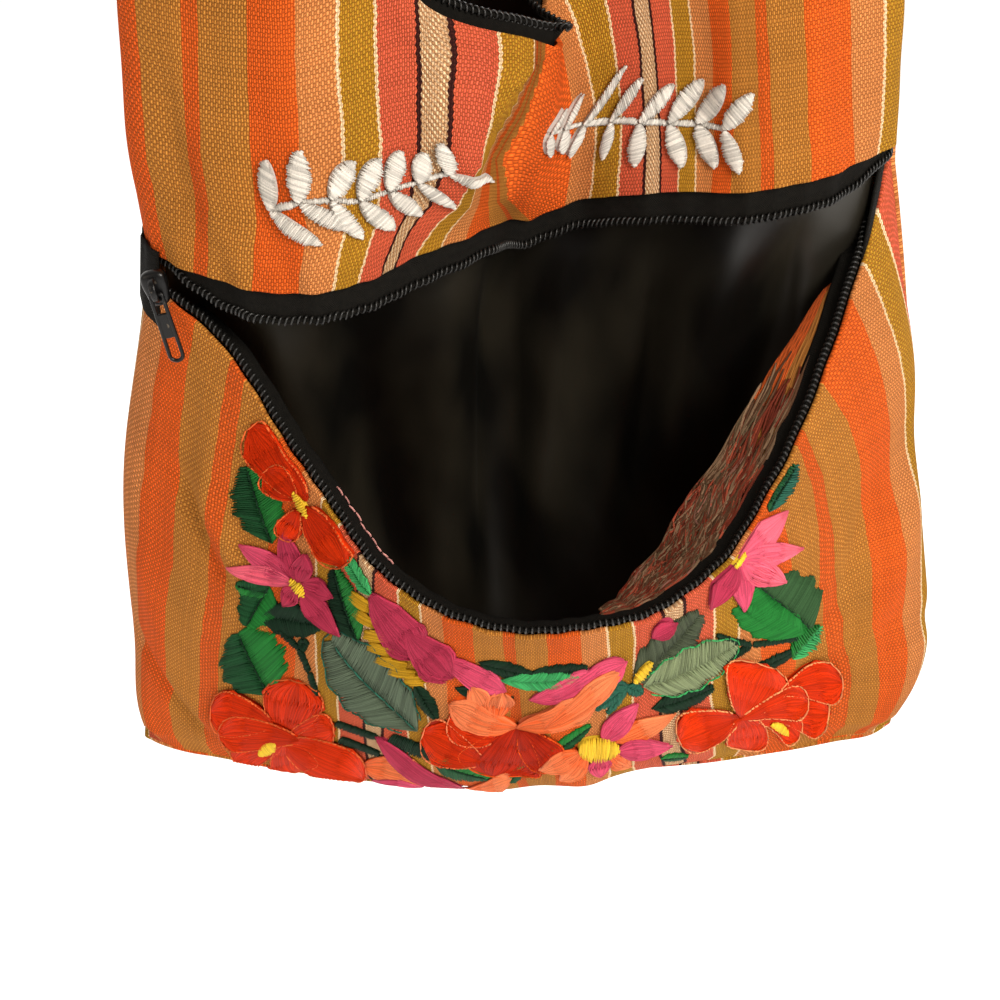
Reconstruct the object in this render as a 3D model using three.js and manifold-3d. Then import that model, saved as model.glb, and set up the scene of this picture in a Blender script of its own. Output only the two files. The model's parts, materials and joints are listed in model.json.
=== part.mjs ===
// Slouchy hobo bag of striped cotton cloth, hung by its shoulder strap, its front zip pocket gaping open.
// Millimetres, +Z up, the front faces -Y. Tables are measured from the level of the bottom corners;
// the frame's origin is the underside of the strap, at the point the bag hangs from.
import * as THREE from 'three';
import Module from 'manifold-3d';

const wasm = await Module();
wasm.setup();
const { Manifold, Mesh: ManifoldMesh } = wasm;

// Driving dimensions
const hangHeight = 700;
const clothThickness = 1.6;
const liningThickness = 1.0;
const layerGap = 0.5;
const seamGap = 1.1;
const zipShare = 0.52;
const tapeThickness = 0.8;
const coilRadius = 1.5;
const coilBehind = 1.7;
const liningBehind = 3.9;
const strapThickness = 3.2;
const strapWidth = 53;

// Grid of each cloth panel; tapes and linings use the same columns so that the layers stay apart.
const pocketColumns = 40;
const upperColumns = 44;
const backColumns = 32;
const backRows = 14;

// Front pocket panel, one row for each vertical section from the left side seam to the right one:
// its foot, belly and lip, and how far the lip turns out.
const pocketSections = [
  { at: 0.00, foot: [-137, 0, -7], belly: [-128, -3, 92], lip: [-113, -42, 203], flare: [0] },
  { at: 0.05, foot: [-130, -6, -6], belly: [-133, -20, 88], lip: [-110, -59, 200], flare: [0] },
  { at: 0.14, foot: [-114, -12, -6], belly: [-116, -47, 82], lip: [-90, -75, 188], flare: [2] },
  { at: 0.26, foot: [-84, -16, -10], belly: [-83, -64, 67], lip: [-67, -95, 160], flare: [6] },
  { at: 0.38, foot: [-48, -19, -13], belly: [-49, -74, 51], lip: [-44, -110, 132], flare: [14] },
  { at: 0.48, foot: [-18, -20, -15], belly: [-20, -77, 39], lip: [-21, -118, 119], flare: [21] },
  { at: 0.57, foot: [8, -20, -14], belly: [8, -76, 38], lip: [4, -120, 116], flare: [23] },
  { at: 0.66, foot: [34, -19, -12], belly: [36, -72, 43], lip: [30, -114, 116], flare: [21] },
  { at: 0.75, foot: [62, -17, -10], belly: [66, -62, 54], lip: [55, -98, 124], flare: [14] },
  { at: 0.84, foot: [91, -14, -8], belly: [96, -44, 74], lip: [75, -74, 142], flare: [6] },
  { at: 0.91, foot: [112, -9, -5], belly: [120, -26, 92], lip: [93, -44, 170], flare: [2] },
  { at: 0.96, foot: [125, -4, -4], belly: [135, -4, 98], lip: [108, -12, 198], flare: [0] },
  { at: 1.00, foot: [133, 3, -3], belly: [131, 12, 102], lip: [114, 8, 213], flare: [0] },
];
const flarePower = 6;

// Upper front panel: its hem over the pocket, its waist, and its top at the horns and the main mouth.
const upperSections = [
  { at: 0.00, hem: [-112, -42, 208], waist: [-112, -26, 290], top: [-100, -7, 400] },
  { at: 0.05, hem: [-110, -56, 209], waist: [-115, -36, 290], top: [-102, -11, 400] },
  { at: 0.14, hem: [-92, -76, 208], waist: [-99, -54, 290], top: [-87, -11, 400] },
  { at: 0.24, hem: [-70, -87, 208], waist: [-79, -64, 287], top: [-67, -11, 400] },
  { at: 0.34, hem: [-46, -82, 209], waist: [-56, -67, 280], top: [-48, -11, 400] },
  { at: 0.42, hem: [-26, -68, 213], waist: [-28, -67, 252], top: [-31, -60, 283] },
  { at: 0.48, hem: [-10, -50, 213], waist: [-2, -58, 242], top: [0, -50, 268] },
  { at: 0.53, hem: [0, -26, 205], waist: [6, -38, 236], top: [9, -40, 263] },
  { at: 0.59, hem: [14, -22, 209], waist: [15, -26, 242], top: [5, -27, 272] },
  { at: 0.67, hem: [38, -34, 216], waist: [33, -24, 272], top: [18, -13, 340] },
  { at: 0.75, hem: [62, -41, 219], waist: [56, -26, 290], top: [44, -11, 400] },
  { at: 0.83, hem: [84, -36, 221], waist: [78, -26, 290], top: [62, -11, 400] },
  { at: 0.91, hem: [103, -20, 222], waist: [98, -14, 290], top: [82, -11, 400] },
  { at: 0.96, hem: [113, -4, 221], waist: [109, -4, 290], top: [98, -10, 400] },
  { at: 1.00, hem: [114, 8, 220], waist: [109, 8, 290], top: [96, -6, 400] },
];

// Broad folds of the two front panels: where each runs, how wide it is and how far it stands out (mm).
const pocketFolds = [
  { across: 0.17, reach: 0.05, low: 0.35, high: 1.10, out: 3.0 },
  { across: 0.47, reach: 0.06, low: -0.20, high: 0.62, out: -6.0 },
  { across: 0.62, reach: 0.07, low: -0.20, high: 0.55, out: 4.0 },
  { across: 0.88, reach: 0.05, low: 0.20, high: 1.00, out: -3.0 },
];
const upperFolds = [
  { across: 0.19, reach: 0.06, low: 0.05, high: 1.10, out: -3.0 },
  { across: 0.30, reach: 0.06, low: -0.30, high: 0.90, out: 3.5 },
  { across: 0.70, reach: 0.06, low: -0.30, high: 0.90, out: -4.0 },
  { across: 0.87, reach: 0.05, low: -0.10, high: 0.90, out: -2.5 },
];

// Back panel: how far its middle stands behind the side seams at each share of the height.
const backSwell = [
  { at: 0.00, swell: [0] },
  { at: 0.05, swell: [11] },
  { at: 0.18, swell: [24] },
  { at: 0.45, swell: [38] },
  { at: 0.72, swell: [34] },
  { at: 1.00, swell: [3] },
];
const hornShare = 0.25;
const backMouthDrop = 0.29;
const backMouthPower = 2.5;

// Zip tapes and coils: the panel columns each runs between, how far the tape tucks in, stands out and
// clears the cloth (mm), the share of its length over which it narrows at each end, the coil's steps,
// and whether it hangs straight down.
const zips = {
  pocketUpper: {
    columns: upperColumns, from: 3, to: 43, tuck: 1.5, reach: 8.5, gap: 0.6, taper: 0.12, steps: 42, hangs: true,
  },
  pocketLower: {
    columns: pocketColumns, from: 3, to: 38, tuck: 5, reach: 1.5, gap: 0.7, taper: 0.02, steps: 40, hangs: false,
  },
  mouthFront: {
    columns: upperColumns, from: 16, to: 32, tuck: 3, reach: 4, gap: 0.9, taper: 0.02, steps: 26, hangs: false,
  },
  mouthBack: {
    columns: backColumns, from: 9, to: 23, tuck: 2, reach: 4, gap: 0.9, taper: 0.02, steps: 22, hangs: false,
  },
};
const taperedReach = 0.15;

// Zip slider of the pocket, its bridge and its pull
const sliderCentre = [-106, -69.9, 202];
const sliderLean = -13;
const sliderLength = 11;
const sliderWidth = 7.6;
const sliderDepth = 4.2;
const bridgeWidth = 2;
const bridgeWall = 1.1;
const bridgeRise = 3.6;
const bridgeFootLow = -3.2;
const bridgeFootHigh = 4;
const pullLength = 21.5;
const pullThickness = 1.2;
const pullBar = 1.2;

// Hidden slider of the main mouth, a plain block at the left end of its coil
const mouthSliderSize = [8, 4.4, 11];
const mouthSliderShift = 3;

const vec = (xyz) => new THREE.Vector3(...xyz);
const mix = (a, b, share) => a + (b - a) * share;

// One column of a section table at a share of the way along it: a cubic through the rows that never
// swings past them, its slope at a row the harmonic mean of the steps either side.
function through(rows, column, share) {
  const last = rows.length - 1;
  const above = rows.findIndex((row) => row.at >= share);
  const i = Math.min(Math.max((above < 0 ? last : above) - 1, 0), last - 1);
  const span = rows[i + 1].at - rows[i].at;
  const t = (share - rows[i].at) / span;
  const step = (k, axis) => (rows[k + 1][column][axis] - rows[k][column][axis]) / (rows[k + 1].at - rows[k].at);
  const slope = (k, axis) => {
    if (k === 0 || k === last) {
      return step(Math.min(k, last - 1), axis);
    }
    const [before, after] = [step(k - 1, axis), step(k, axis)];
    return before * after > 0 ? (2 * before * after) / (before + after) : 0;
  };
  return rows[i][column].map((value, axis) => {
    const next = rows[i + 1][column][axis];
    const start = (2 * t ** 3 - 3 * t ** 2 + 1) * value + (t ** 3 - 2 * t ** 2 + t) * span * slope(i, axis);
    const end = (3 * t ** 2 - 2 * t ** 3) * next + (t ** 3 - t ** 2) * span * slope(i + 1, axis);
    return start + end;
  });
}

// Parabola through three points, the middle one at half way.
function arcThrough(low, middle, high, share) {
  const lowPart = (1 - share) * (1 - 2 * share);
  const middlePart = 4 * share * (1 - share);
  const highPart = share * (2 * share - 1);
  return vec(low.map((value, axis) => lowPart * value + middlePart * middle[axis] + highPart * high[axis]));
}

// Smooth bump, one in the middle and nothing beyond the reach.
const bump = (offset, reach) => (Math.abs(offset) < reach ? Math.cos((Math.PI * offset) / (2 * reach)) ** 2 : 0);

// How far the folds of a panel push it forward at a point.
function foldOut(folds, u, v) {
  return folds.reduce((sum, fold) => {
    const middle = (fold.low + fold.high) / 2;
    const half = (fold.high - fold.low) / 2;
    return sum + fold.out * bump(u - fold.across, fold.reach) * bump(v - middle, half);
  }, 0);
}

function pocketAt(u, v) {
  const [foot, belly, lip] = ['foot', 'belly', 'lip'].map((column) => through(pocketSections, column, u));
  const [flare] = through(pocketSections, 'flare', u);
  const point = arcThrough(foot, belly, [lip[0], lip[1] + flare, lip[2]], v);
  point.y -= flare * v ** flarePower + foldOut(pocketFolds, u, v);
  return point;
}

function upperAt(u, v) {
  const columns = ['hem', 'waist', 'top'].map((column) => through(upperSections, column, u));
  const point = arcThrough(...columns, v);
  point.y -= foldOut(upperFolds, u, v);
  return point;
}

// Side seam, from the bottom corner up past the end of the pocket zip to the horn.
function sideSeam(side, share) {
  if (share < zipShare) {
    return pocketAt(side, share / zipShare);
  }
  return upperAt(side, (share - zipShare) / (1 - zipShare));
}

// Back panel, run from the right seam to the left so that its outside faces back.
function backAt(u, share) {
  const point = sideSeam(1, share).lerp(sideSeam(0, share), u);
  const straightFoot = pocketAt(1, 0).lerp(pocketAt(0, 0), u);
  const footDip = pocketAt(1 - u, 0).sub(straightFoot);
  point.addScaledVector(footDip, (1 - share) ** 3);
  const [swell] = through(backSwell, 'swell', share);
  point.y += seamGap + swell * (4 * u * (1 - u)) ** 0.6;
  return point;
}

// Share of the height where the back panel ends: full at the horns, cut down between them for the mouth.
function backTop(u) {
  const fromMiddle = Math.abs(u - 0.5) / (0.5 - hornShare);
  return 1 - backMouthDrop * Math.max(0, 1 - fromMiddle ** backMouthPower);
}

const backSheet = (u, v) => backAt(u, v * backTop(u));

// Unit directions of a sheet at a point: along u, along v, and out of its face.
function sheetFrame(pointAt, u, v) {
  const step = 1e-3;
  const [uLow, uHigh] = [Math.max(u - step, 0), Math.min(u + step, 1)];
  const [vLow, vHigh] = [Math.max(v - step, 0), Math.min(v + step, 1)];
  const alongU = pointAt(uHigh, v).sub(pointAt(uLow, v)).normalize();
  const alongV = pointAt(u, vHigh).sub(pointAt(u, vLow)).normalize();
  const out = alongU.clone().cross(alongV).normalize();
  return { alongU, alongV, out };
}

// Closed wall of a sheet: an outer grid, an inner grid a thickness behind it, and the rims between them.
// sideInward is the X direction the first column's rim is cut to, so that seams meet edge to edge.
function sheetWall(pointAt, { columns, rows, thickness, sideInward = 0, footUp = false }) {
  const positions = [];
  const across = columns + 1;
  const layer = across * (rows + 1);
  const outer = [];
  const inner = [];
  for (let j = 0; j <= rows; j += 1) {
    for (let i = 0; i <= columns; i += 1) {
      const [u, v] = [i / columns, j / rows];
      const point = pointAt(u, v);
      const inward = sheetFrame(pointAt, u, v).out.negate();
      if (footUp && j === 0) {
        inward.set(0, 0, 1);
      }
      if (sideInward !== 0 && (i === 0 || i === columns)) {
        inward.set(i === 0 ? sideInward : -sideInward, 0, footUp && j === 0 ? 1 : 0);
      }
      outer.push(point.toArray());
      inner.push(point.clone().addScaledVector(inward, thickness).toArray());
    }
  }
  positions.push(...outer.flat(), ...inner.flat());
  const indices = [];
  const quad = (a, b, c, d) => indices.push(a, b, c, a, c, d);
  for (let j = 0; j < rows; j += 1) {
    for (let i = 0; i < columns; i += 1) {
      const a = j * across + i;
      quad(a, a + 1, a + 1 + across, a + across);
      quad(layer + a, layer + a + across, layer + a + 1 + across, layer + a + 1);
    }
  }
  for (let i = 0; i < columns; i += 1) {
    const top = rows * across + i;
    quad(i, layer + i, layer + i + 1, i + 1);
    quad(top, top + 1, layer + top + 1, layer + top);
  }
  for (let j = 0; j < rows; j += 1) {
    const left = j * across;
    const right = left + columns;
    quad(left, left + across, layer + left + across, layer + left);
    quad(right, layer + right, layer + right + across, right + across);
  }
  const geometry = new THREE.BufferGeometry();
  geometry.setAttribute('position', new THREE.Float32BufferAttribute(positions, 3));
  geometry.setIndex(indices);
  return geometry.toNonIndexed();
}

// Point beside a panel's edge: past the edge along the cloth, or straight down, and behind its face.
// edgeSide is 1 where the edge is the sheet's top and -1 where it is its foot.
function edgePoint(pointAt, u, edgeSide, hangs, past, behind) {
  const v = edgeSide > 0 ? 1 : 0;
  const { alongU, out } = sheetFrame(pointAt, u, v);
  const outward = hangs ? vec([0, 0, -1]) : out.clone().cross(alongU).multiplyScalar(edgeSide).normalize();
  return pointAt(u, v).addScaledVector(outward, past).addScaledVector(out, -behind);
}

// How far a zip's tape stands past the cloth's edge at a share of its length.
function zipReach(zip, share) {
  const fromEnd = Math.min(share, 1 - share);
  return zip.reach * mix(taperedReach, 1, THREE.MathUtils.smoothstep(fromEnd, 0, zip.taper));
}

const zipColumn = (zip, share) => mix(zip.from, zip.to, share) / zip.columns;

// Zip tape: tucked behind the cloth on one side, standing past the edge on the other.
function zipTape(pointAt, edgeSide, zip) {
  const behind = clothThickness + zip.gap;
  const strip = (share, acrossTape) => {
    const ends = [-zip.tuck, zipReach(zip, share)];
    const past = edgeSide > 0 ? mix(...ends, acrossTape) : mix(...ends, 1 - acrossTape);
    return edgePoint(pointAt, zipColumn(zip, share), edgeSide, zip.hangs, past, behind);
  };
  return sheetWall(strip, { columns: zip.to - zip.from, rows: 1, thickness: tapeThickness });
}

// Point on the middle line of a zip's coil, just past its tape and a little in front of it.
function coilPoint(pointAt, edgeSide, zip, share) {
  const past = zipReach(zip, share) + zip.gap + coilRadius;
  return edgePoint(pointAt, zipColumn(zip, share), edgeSide, zip.hangs, past, coilBehind);
}

function zipCoil(pointAt, edgeSide, zip) {
  const span = zip.to - zip.from;
  const points = Array.from({ length: span + 1 }, (_, i) => coilPoint(pointAt, edgeSide, zip, i / span));
  const ring = new THREE.Shape();
  ring.absarc(0, 0, coilRadius, 0, 2 * Math.PI);
  const extrudePath = new THREE.CatmullRomCurve3(points);
  return new THREE.ExtrudeGeometry(ring, { steps: zip.steps, extrudePath, curveSegments: 3 });
}

// Pocket lining: hangs behind the upper tape, leans back, and ends just above the bottom seam.
const liningColumns = [3, 41];
const liningTuck = 2;
const liningLift = 10;
const liningForward = 1;
const liningNarrow = 0.94;
const liningLean = 34;
function liningAt(u, v) {
  const across = mix(...liningColumns, u) / upperColumns;
  const high = edgePoint(upperAt, across, -1, true, -liningTuck, liningBehind);
  const low = pocketAt(across, 0);
  low.set(low.x * liningNarrow, low.y - liningForward, low.z + liningLift);
  const middle = high.clone().lerp(low, 0.5);
  middle.y += liningLean * Math.sin(Math.PI * u);
  return arcThrough(low.toArray(), middle.toArray(), high.toArray(), v);
}

// Main lining on the inside of the back panel, stopping short of the seams, the mouth and the horns.
const backLiningColumns = [3, 29];
const backLiningRows = [1, 11];
function backLiningAt(u, v) {
  const across = mix(...backLiningColumns, u) / backColumns;
  const up = mix(...backLiningRows, v) / backRows;
  const behind = clothThickness + 2 * layerGap;
  return backSheet(across, up).addScaledVector(sheetFrame(backSheet, across, up).out, -behind);
}

// Strap: up from the left horn, over the hanging point and down to the right horn, turning edge on as it rises.
const strapPath = new THREE.CatmullRomCurve3([
  [-75, -8.5, 400.7],
  [-74.5, -8, 425],
  [-67, -5, 490],
  [-52, -2, 580],
  [-38, 0, 650],
  [-22, 0, 689],
  [0, 0, 700 + strapThickness / 2],
  [22, 0, 689],
  [38, 0, 650],
  [50, -2, 580],
  [64, -5, 490],
  [70, -8, 425],
  [70.5, -8.5, 400.7],
].map(vec));
const strapTurn = { start: 0.10, end: 0.42 };
const strapSegments = 44;
function strapAt(u, v) {
  const point = strapPath.getPoint(u);
  const fromEnd = Math.min(u, 1 - u);
  const share = THREE.MathUtils.smoothstep(fromEnd, strapTurn.start, strapTurn.end);
  const turn = (Math.PI / 2) * share;
  const side = u < 0.5 ? 1 : -1;
  const across = vec([side * Math.cos(turn), Math.sin(turn), 0]);
  const tangent = strapPath.getTangent(u);
  across.addScaledVector(tangent, -across.dot(tangent)).normalize();
  const face = tangent.clone().cross(across);
  return point.addScaledVector(across, (v - 0.5) * strapWidth).addScaledVector(face, strapThickness / 2);
}

// Turn that lays a shape drawn in X and Y upright, its thickness along Y.
const upright = new THREE.Matrix4().makeRotationX(Math.PI / 2);
// Turn that stands a side profile drawn as (Y, Z) up, its width along X.
const sideways = new THREE.Matrix4().makeBasis(vec([0, 1, 0]), vec([0, 0, 1]), vec([1, 0, 0]));

function extruded(shape, depth, turn) {
  const geometry = new THREE.ExtrudeGeometry(shape, { depth, bevelEnabled: false, curveSegments: 6 });
  return geometry.translate(0, 0, -depth / 2).applyMatrix4(turn);
}

function roundedBox(width, height, radius) {
  const [w, h] = [width / 2, height / 2];
  const shape = new THREE.Shape();
  shape.moveTo(-w + radius, -h);
  shape.lineTo(w - radius, -h);
  shape.quadraticCurveTo(w, -h, w, -h + radius);
  shape.lineTo(w, h - radius);
  shape.quadraticCurveTo(w, h, w - radius, h);
  shape.lineTo(-w + radius, h);
  shape.quadraticCurveTo(-w, h, -w, h - radius);
  shape.lineTo(-w, -h + radius);
  shape.quadraticCurveTo(-w, -h, -w + radius, -h);
  return shape;
}

// Joins overlapping solids into one.
function joined(geometries) {
  const solids = geometries.map((geometry) => {
    const flat = geometry.index ? geometry.toNonIndexed() : geometry;
    const vertProperties = new Float32Array(flat.attributes.position.array);
    const triVerts = Uint32Array.from({ length: vertProperties.length / 3 }, (_, i) => i);
    const mesh = new ManifoldMesh({ numProp: 3, vertProperties, triVerts });
    mesh.merge();
    return new Manifold(mesh);
  });
  const mesh = Manifold.union(solids).getMesh();
  const geometry = new THREE.BufferGeometry();
  geometry.setAttribute('position', new THREE.BufferAttribute(mesh.vertProperties, 3));
  geometry.setIndex(new THREE.BufferAttribute(mesh.triVerts, 1));
  return geometry.toNonIndexed();
}

const sliderFace = -sliderDepth / 2;
const pullPivot = [0, sliderFace - (bridgeRise - bridgeWall) / 2, bridgeFootLow + bridgeWall + layerGap + pullBar / 2];
const sliderPlace = new THREE.Matrix4().makeTranslation(...sliderCentre);
sliderPlace.multiply(new THREE.Matrix4().makeRotationY(THREE.MathUtils.degToRad(sliderLean)));

// Slider: a rounded body with a narrow bridge over its face.
function sliderGeometry() {
  const body = extruded(roundedBox(sliderWidth, sliderLength, 3), sliderDepth, upright);
  const bridge = new THREE.Shape();
  const overlap = 0.5;
  const bridgeTop = sliderFace - bridgeRise;
  bridge.moveTo(sliderFace + overlap, bridgeFootLow);
  bridge.lineTo(bridgeTop + 1, bridgeFootLow);
  bridge.lineTo(bridgeTop, bridgeFootLow + 1);
  bridge.lineTo(bridgeTop, bridgeFootHigh - 1.5);
  bridge.lineTo(bridgeTop + 1.5, bridgeFootHigh);
  bridge.lineTo(sliderFace + overlap, bridgeFootHigh);
  bridge.lineTo(sliderFace + overlap, bridgeFootHigh - bridgeWall);
  bridge.lineTo(sliderFace, bridgeFootHigh - bridgeWall);
  bridge.lineTo(bridgeTop + bridgeWall, bridgeFootHigh - bridgeWall - 0.4);
  bridge.lineTo(bridgeTop + bridgeWall, bridgeFootLow + bridgeWall);
  bridge.lineTo(sliderFace + overlap, bridgeFootLow + bridgeWall);
  return joined([body, extruded(bridge, bridgeWidth, sideways)]).applyMatrix4(sliderPlace);
}

// Pull: a slim tongue with an eye round the bridge and a slot near its end.
const pullWidthTop = 4.6;
const pullWidthEnd = 5;
const eyeWidth = 3;
const eyeLength = 5.2;
const slotWidth = 2.2;
const slotLength = 6.6;
const slotFromEnd = 1.5;
function pullGeometry() {
  const top = pullBar / 2;
  const [wTop, wEnd] = [pullWidthTop / 2, pullWidthEnd / 2];
  const tongue = new THREE.Shape();
  tongue.moveTo(-wTop, top);
  tongue.lineTo(-wEnd, -pullLength + wEnd);
  tongue.absarc(0, -pullLength + wEnd, wEnd, Math.PI, 2 * Math.PI);
  tongue.lineTo(wTop, top);
  const eye = new THREE.Path();
  eye.moveTo(-eyeWidth / 2, -pullBar / 2);
  eye.lineTo(eyeWidth / 2, -pullBar / 2);
  eye.lineTo(eyeWidth / 2, -pullBar / 2 - eyeLength);
  eye.lineTo(-eyeWidth / 2, -pullBar / 2 - eyeLength);
  const slot = new THREE.Path();
  const slotLow = -pullLength + slotFromEnd + slotWidth / 2;
  slot.absarc(0, slotLow, slotWidth / 2, Math.PI, 2 * Math.PI);
  slot.absarc(0, slotLow + slotLength - slotWidth, slotWidth / 2, 0, Math.PI);
  tongue.holes.push(eye, slot);
  return extruded(tongue, pullThickness, upright).translate(...pullPivot).applyMatrix4(sliderPlace);
}

const cloth = new THREE.MeshStandardMaterial({ color: 0xcf8a4e, roughness: 0.92, metalness: 0 });
const lining = new THREE.MeshStandardMaterial({ color: 0x17171b, roughness: 0.45, metalness: 0 });
const tape = new THREE.MeshStandardMaterial({ color: 0x1d1d20, roughness: 0.85, metalness: 0 });
const coil = new THREE.MeshStandardMaterial({ color: 0x202023, roughness: 0.4, metalness: 0 });
const enamel = new THREE.MeshStandardMaterial({ color: 0x121214, roughness: 0.35, metalness: 0.3 });

const bag = new THREE.Group();
bag.position.z = -hangHeight;
const part = new THREE.Group();
part.add(bag);

function add(name, geometry, material) {
  const mesh = new THREE.Mesh(geometry, material);
  mesh.name = name;
  bag.add(mesh);
}

const frontWall = { thickness: clothThickness, sideInward: 1 };
add('pocket_panel', sheetWall(pocketAt, { ...frontWall, columns: pocketColumns, rows: 12, footUp: true }), cloth);
add('upper_front_panel', sheetWall(upperAt, { ...frontWall, columns: upperColumns, rows: 10 }), cloth);
const backWall = { thickness: clothThickness, sideInward: -1, footUp: true };
add('back_panel', sheetWall(backSheet, { ...backWall, columns: backColumns, rows: backRows }), cloth);
const liningSpan = liningColumns[1] - liningColumns[0];
add('pocket_lining', sheetWall(liningAt, { columns: liningSpan, rows: 7, thickness: liningThickness }), lining);
const backLiningGrid = {
  columns: backLiningColumns[1] - backLiningColumns[0],
  rows: backLiningRows[1] - backLiningRows[0],
};
add('back_lining', sheetWall(backLiningAt, { ...backLiningGrid, thickness: liningThickness }), lining);
add('pocket_zip_upper_tape', zipTape(upperAt, -1, zips.pocketUpper), tape);
add('pocket_zip_upper_coil', zipCoil(upperAt, -1, zips.pocketUpper), coil);
add('pocket_zip_lower_tape', zipTape(pocketAt, 1, zips.pocketLower), tape);
add('pocket_zip_lower_coil', zipCoil(pocketAt, 1, zips.pocketLower), coil);
add('mouth_zip_front_tape', zipTape(upperAt, 1, zips.mouthFront), tape);
add('mouth_zip_front_coil', zipCoil(upperAt, 1, zips.mouthFront), coil);
add('mouth_zip_back_tape', zipTape(backSheet, 1, zips.mouthBack), tape);
add('mouth_zip_back_coil', zipCoil(backSheet, 1, zips.mouthBack), coil);
add('pocket_zip_slider', sliderGeometry(), enamel);
add('pocket_zip_pull', pullGeometry(), enamel);
const mouthSlider = new THREE.BoxGeometry(...mouthSliderSize);
const mouthCoilEnd = coilPoint(upperAt, 1, zips.mouthFront, 0);
const mouthSliderRise = coilRadius + mouthSliderSize[2] / 2;
mouthSlider.translate(mouthCoilEnd.x + mouthSliderShift, mouthCoilEnd.y, mouthCoilEnd.z + mouthSliderRise);
add('mouth_zip_slider', mouthSlider, enamel);
add('strap', sheetWall(strapAt, { columns: strapSegments, rows: 2, thickness: strapThickness }), cloth);

export default part;
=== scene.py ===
# Striped cotton hobo bag, hung by its strap: cloth, lining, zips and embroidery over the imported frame.
import json
import math

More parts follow.
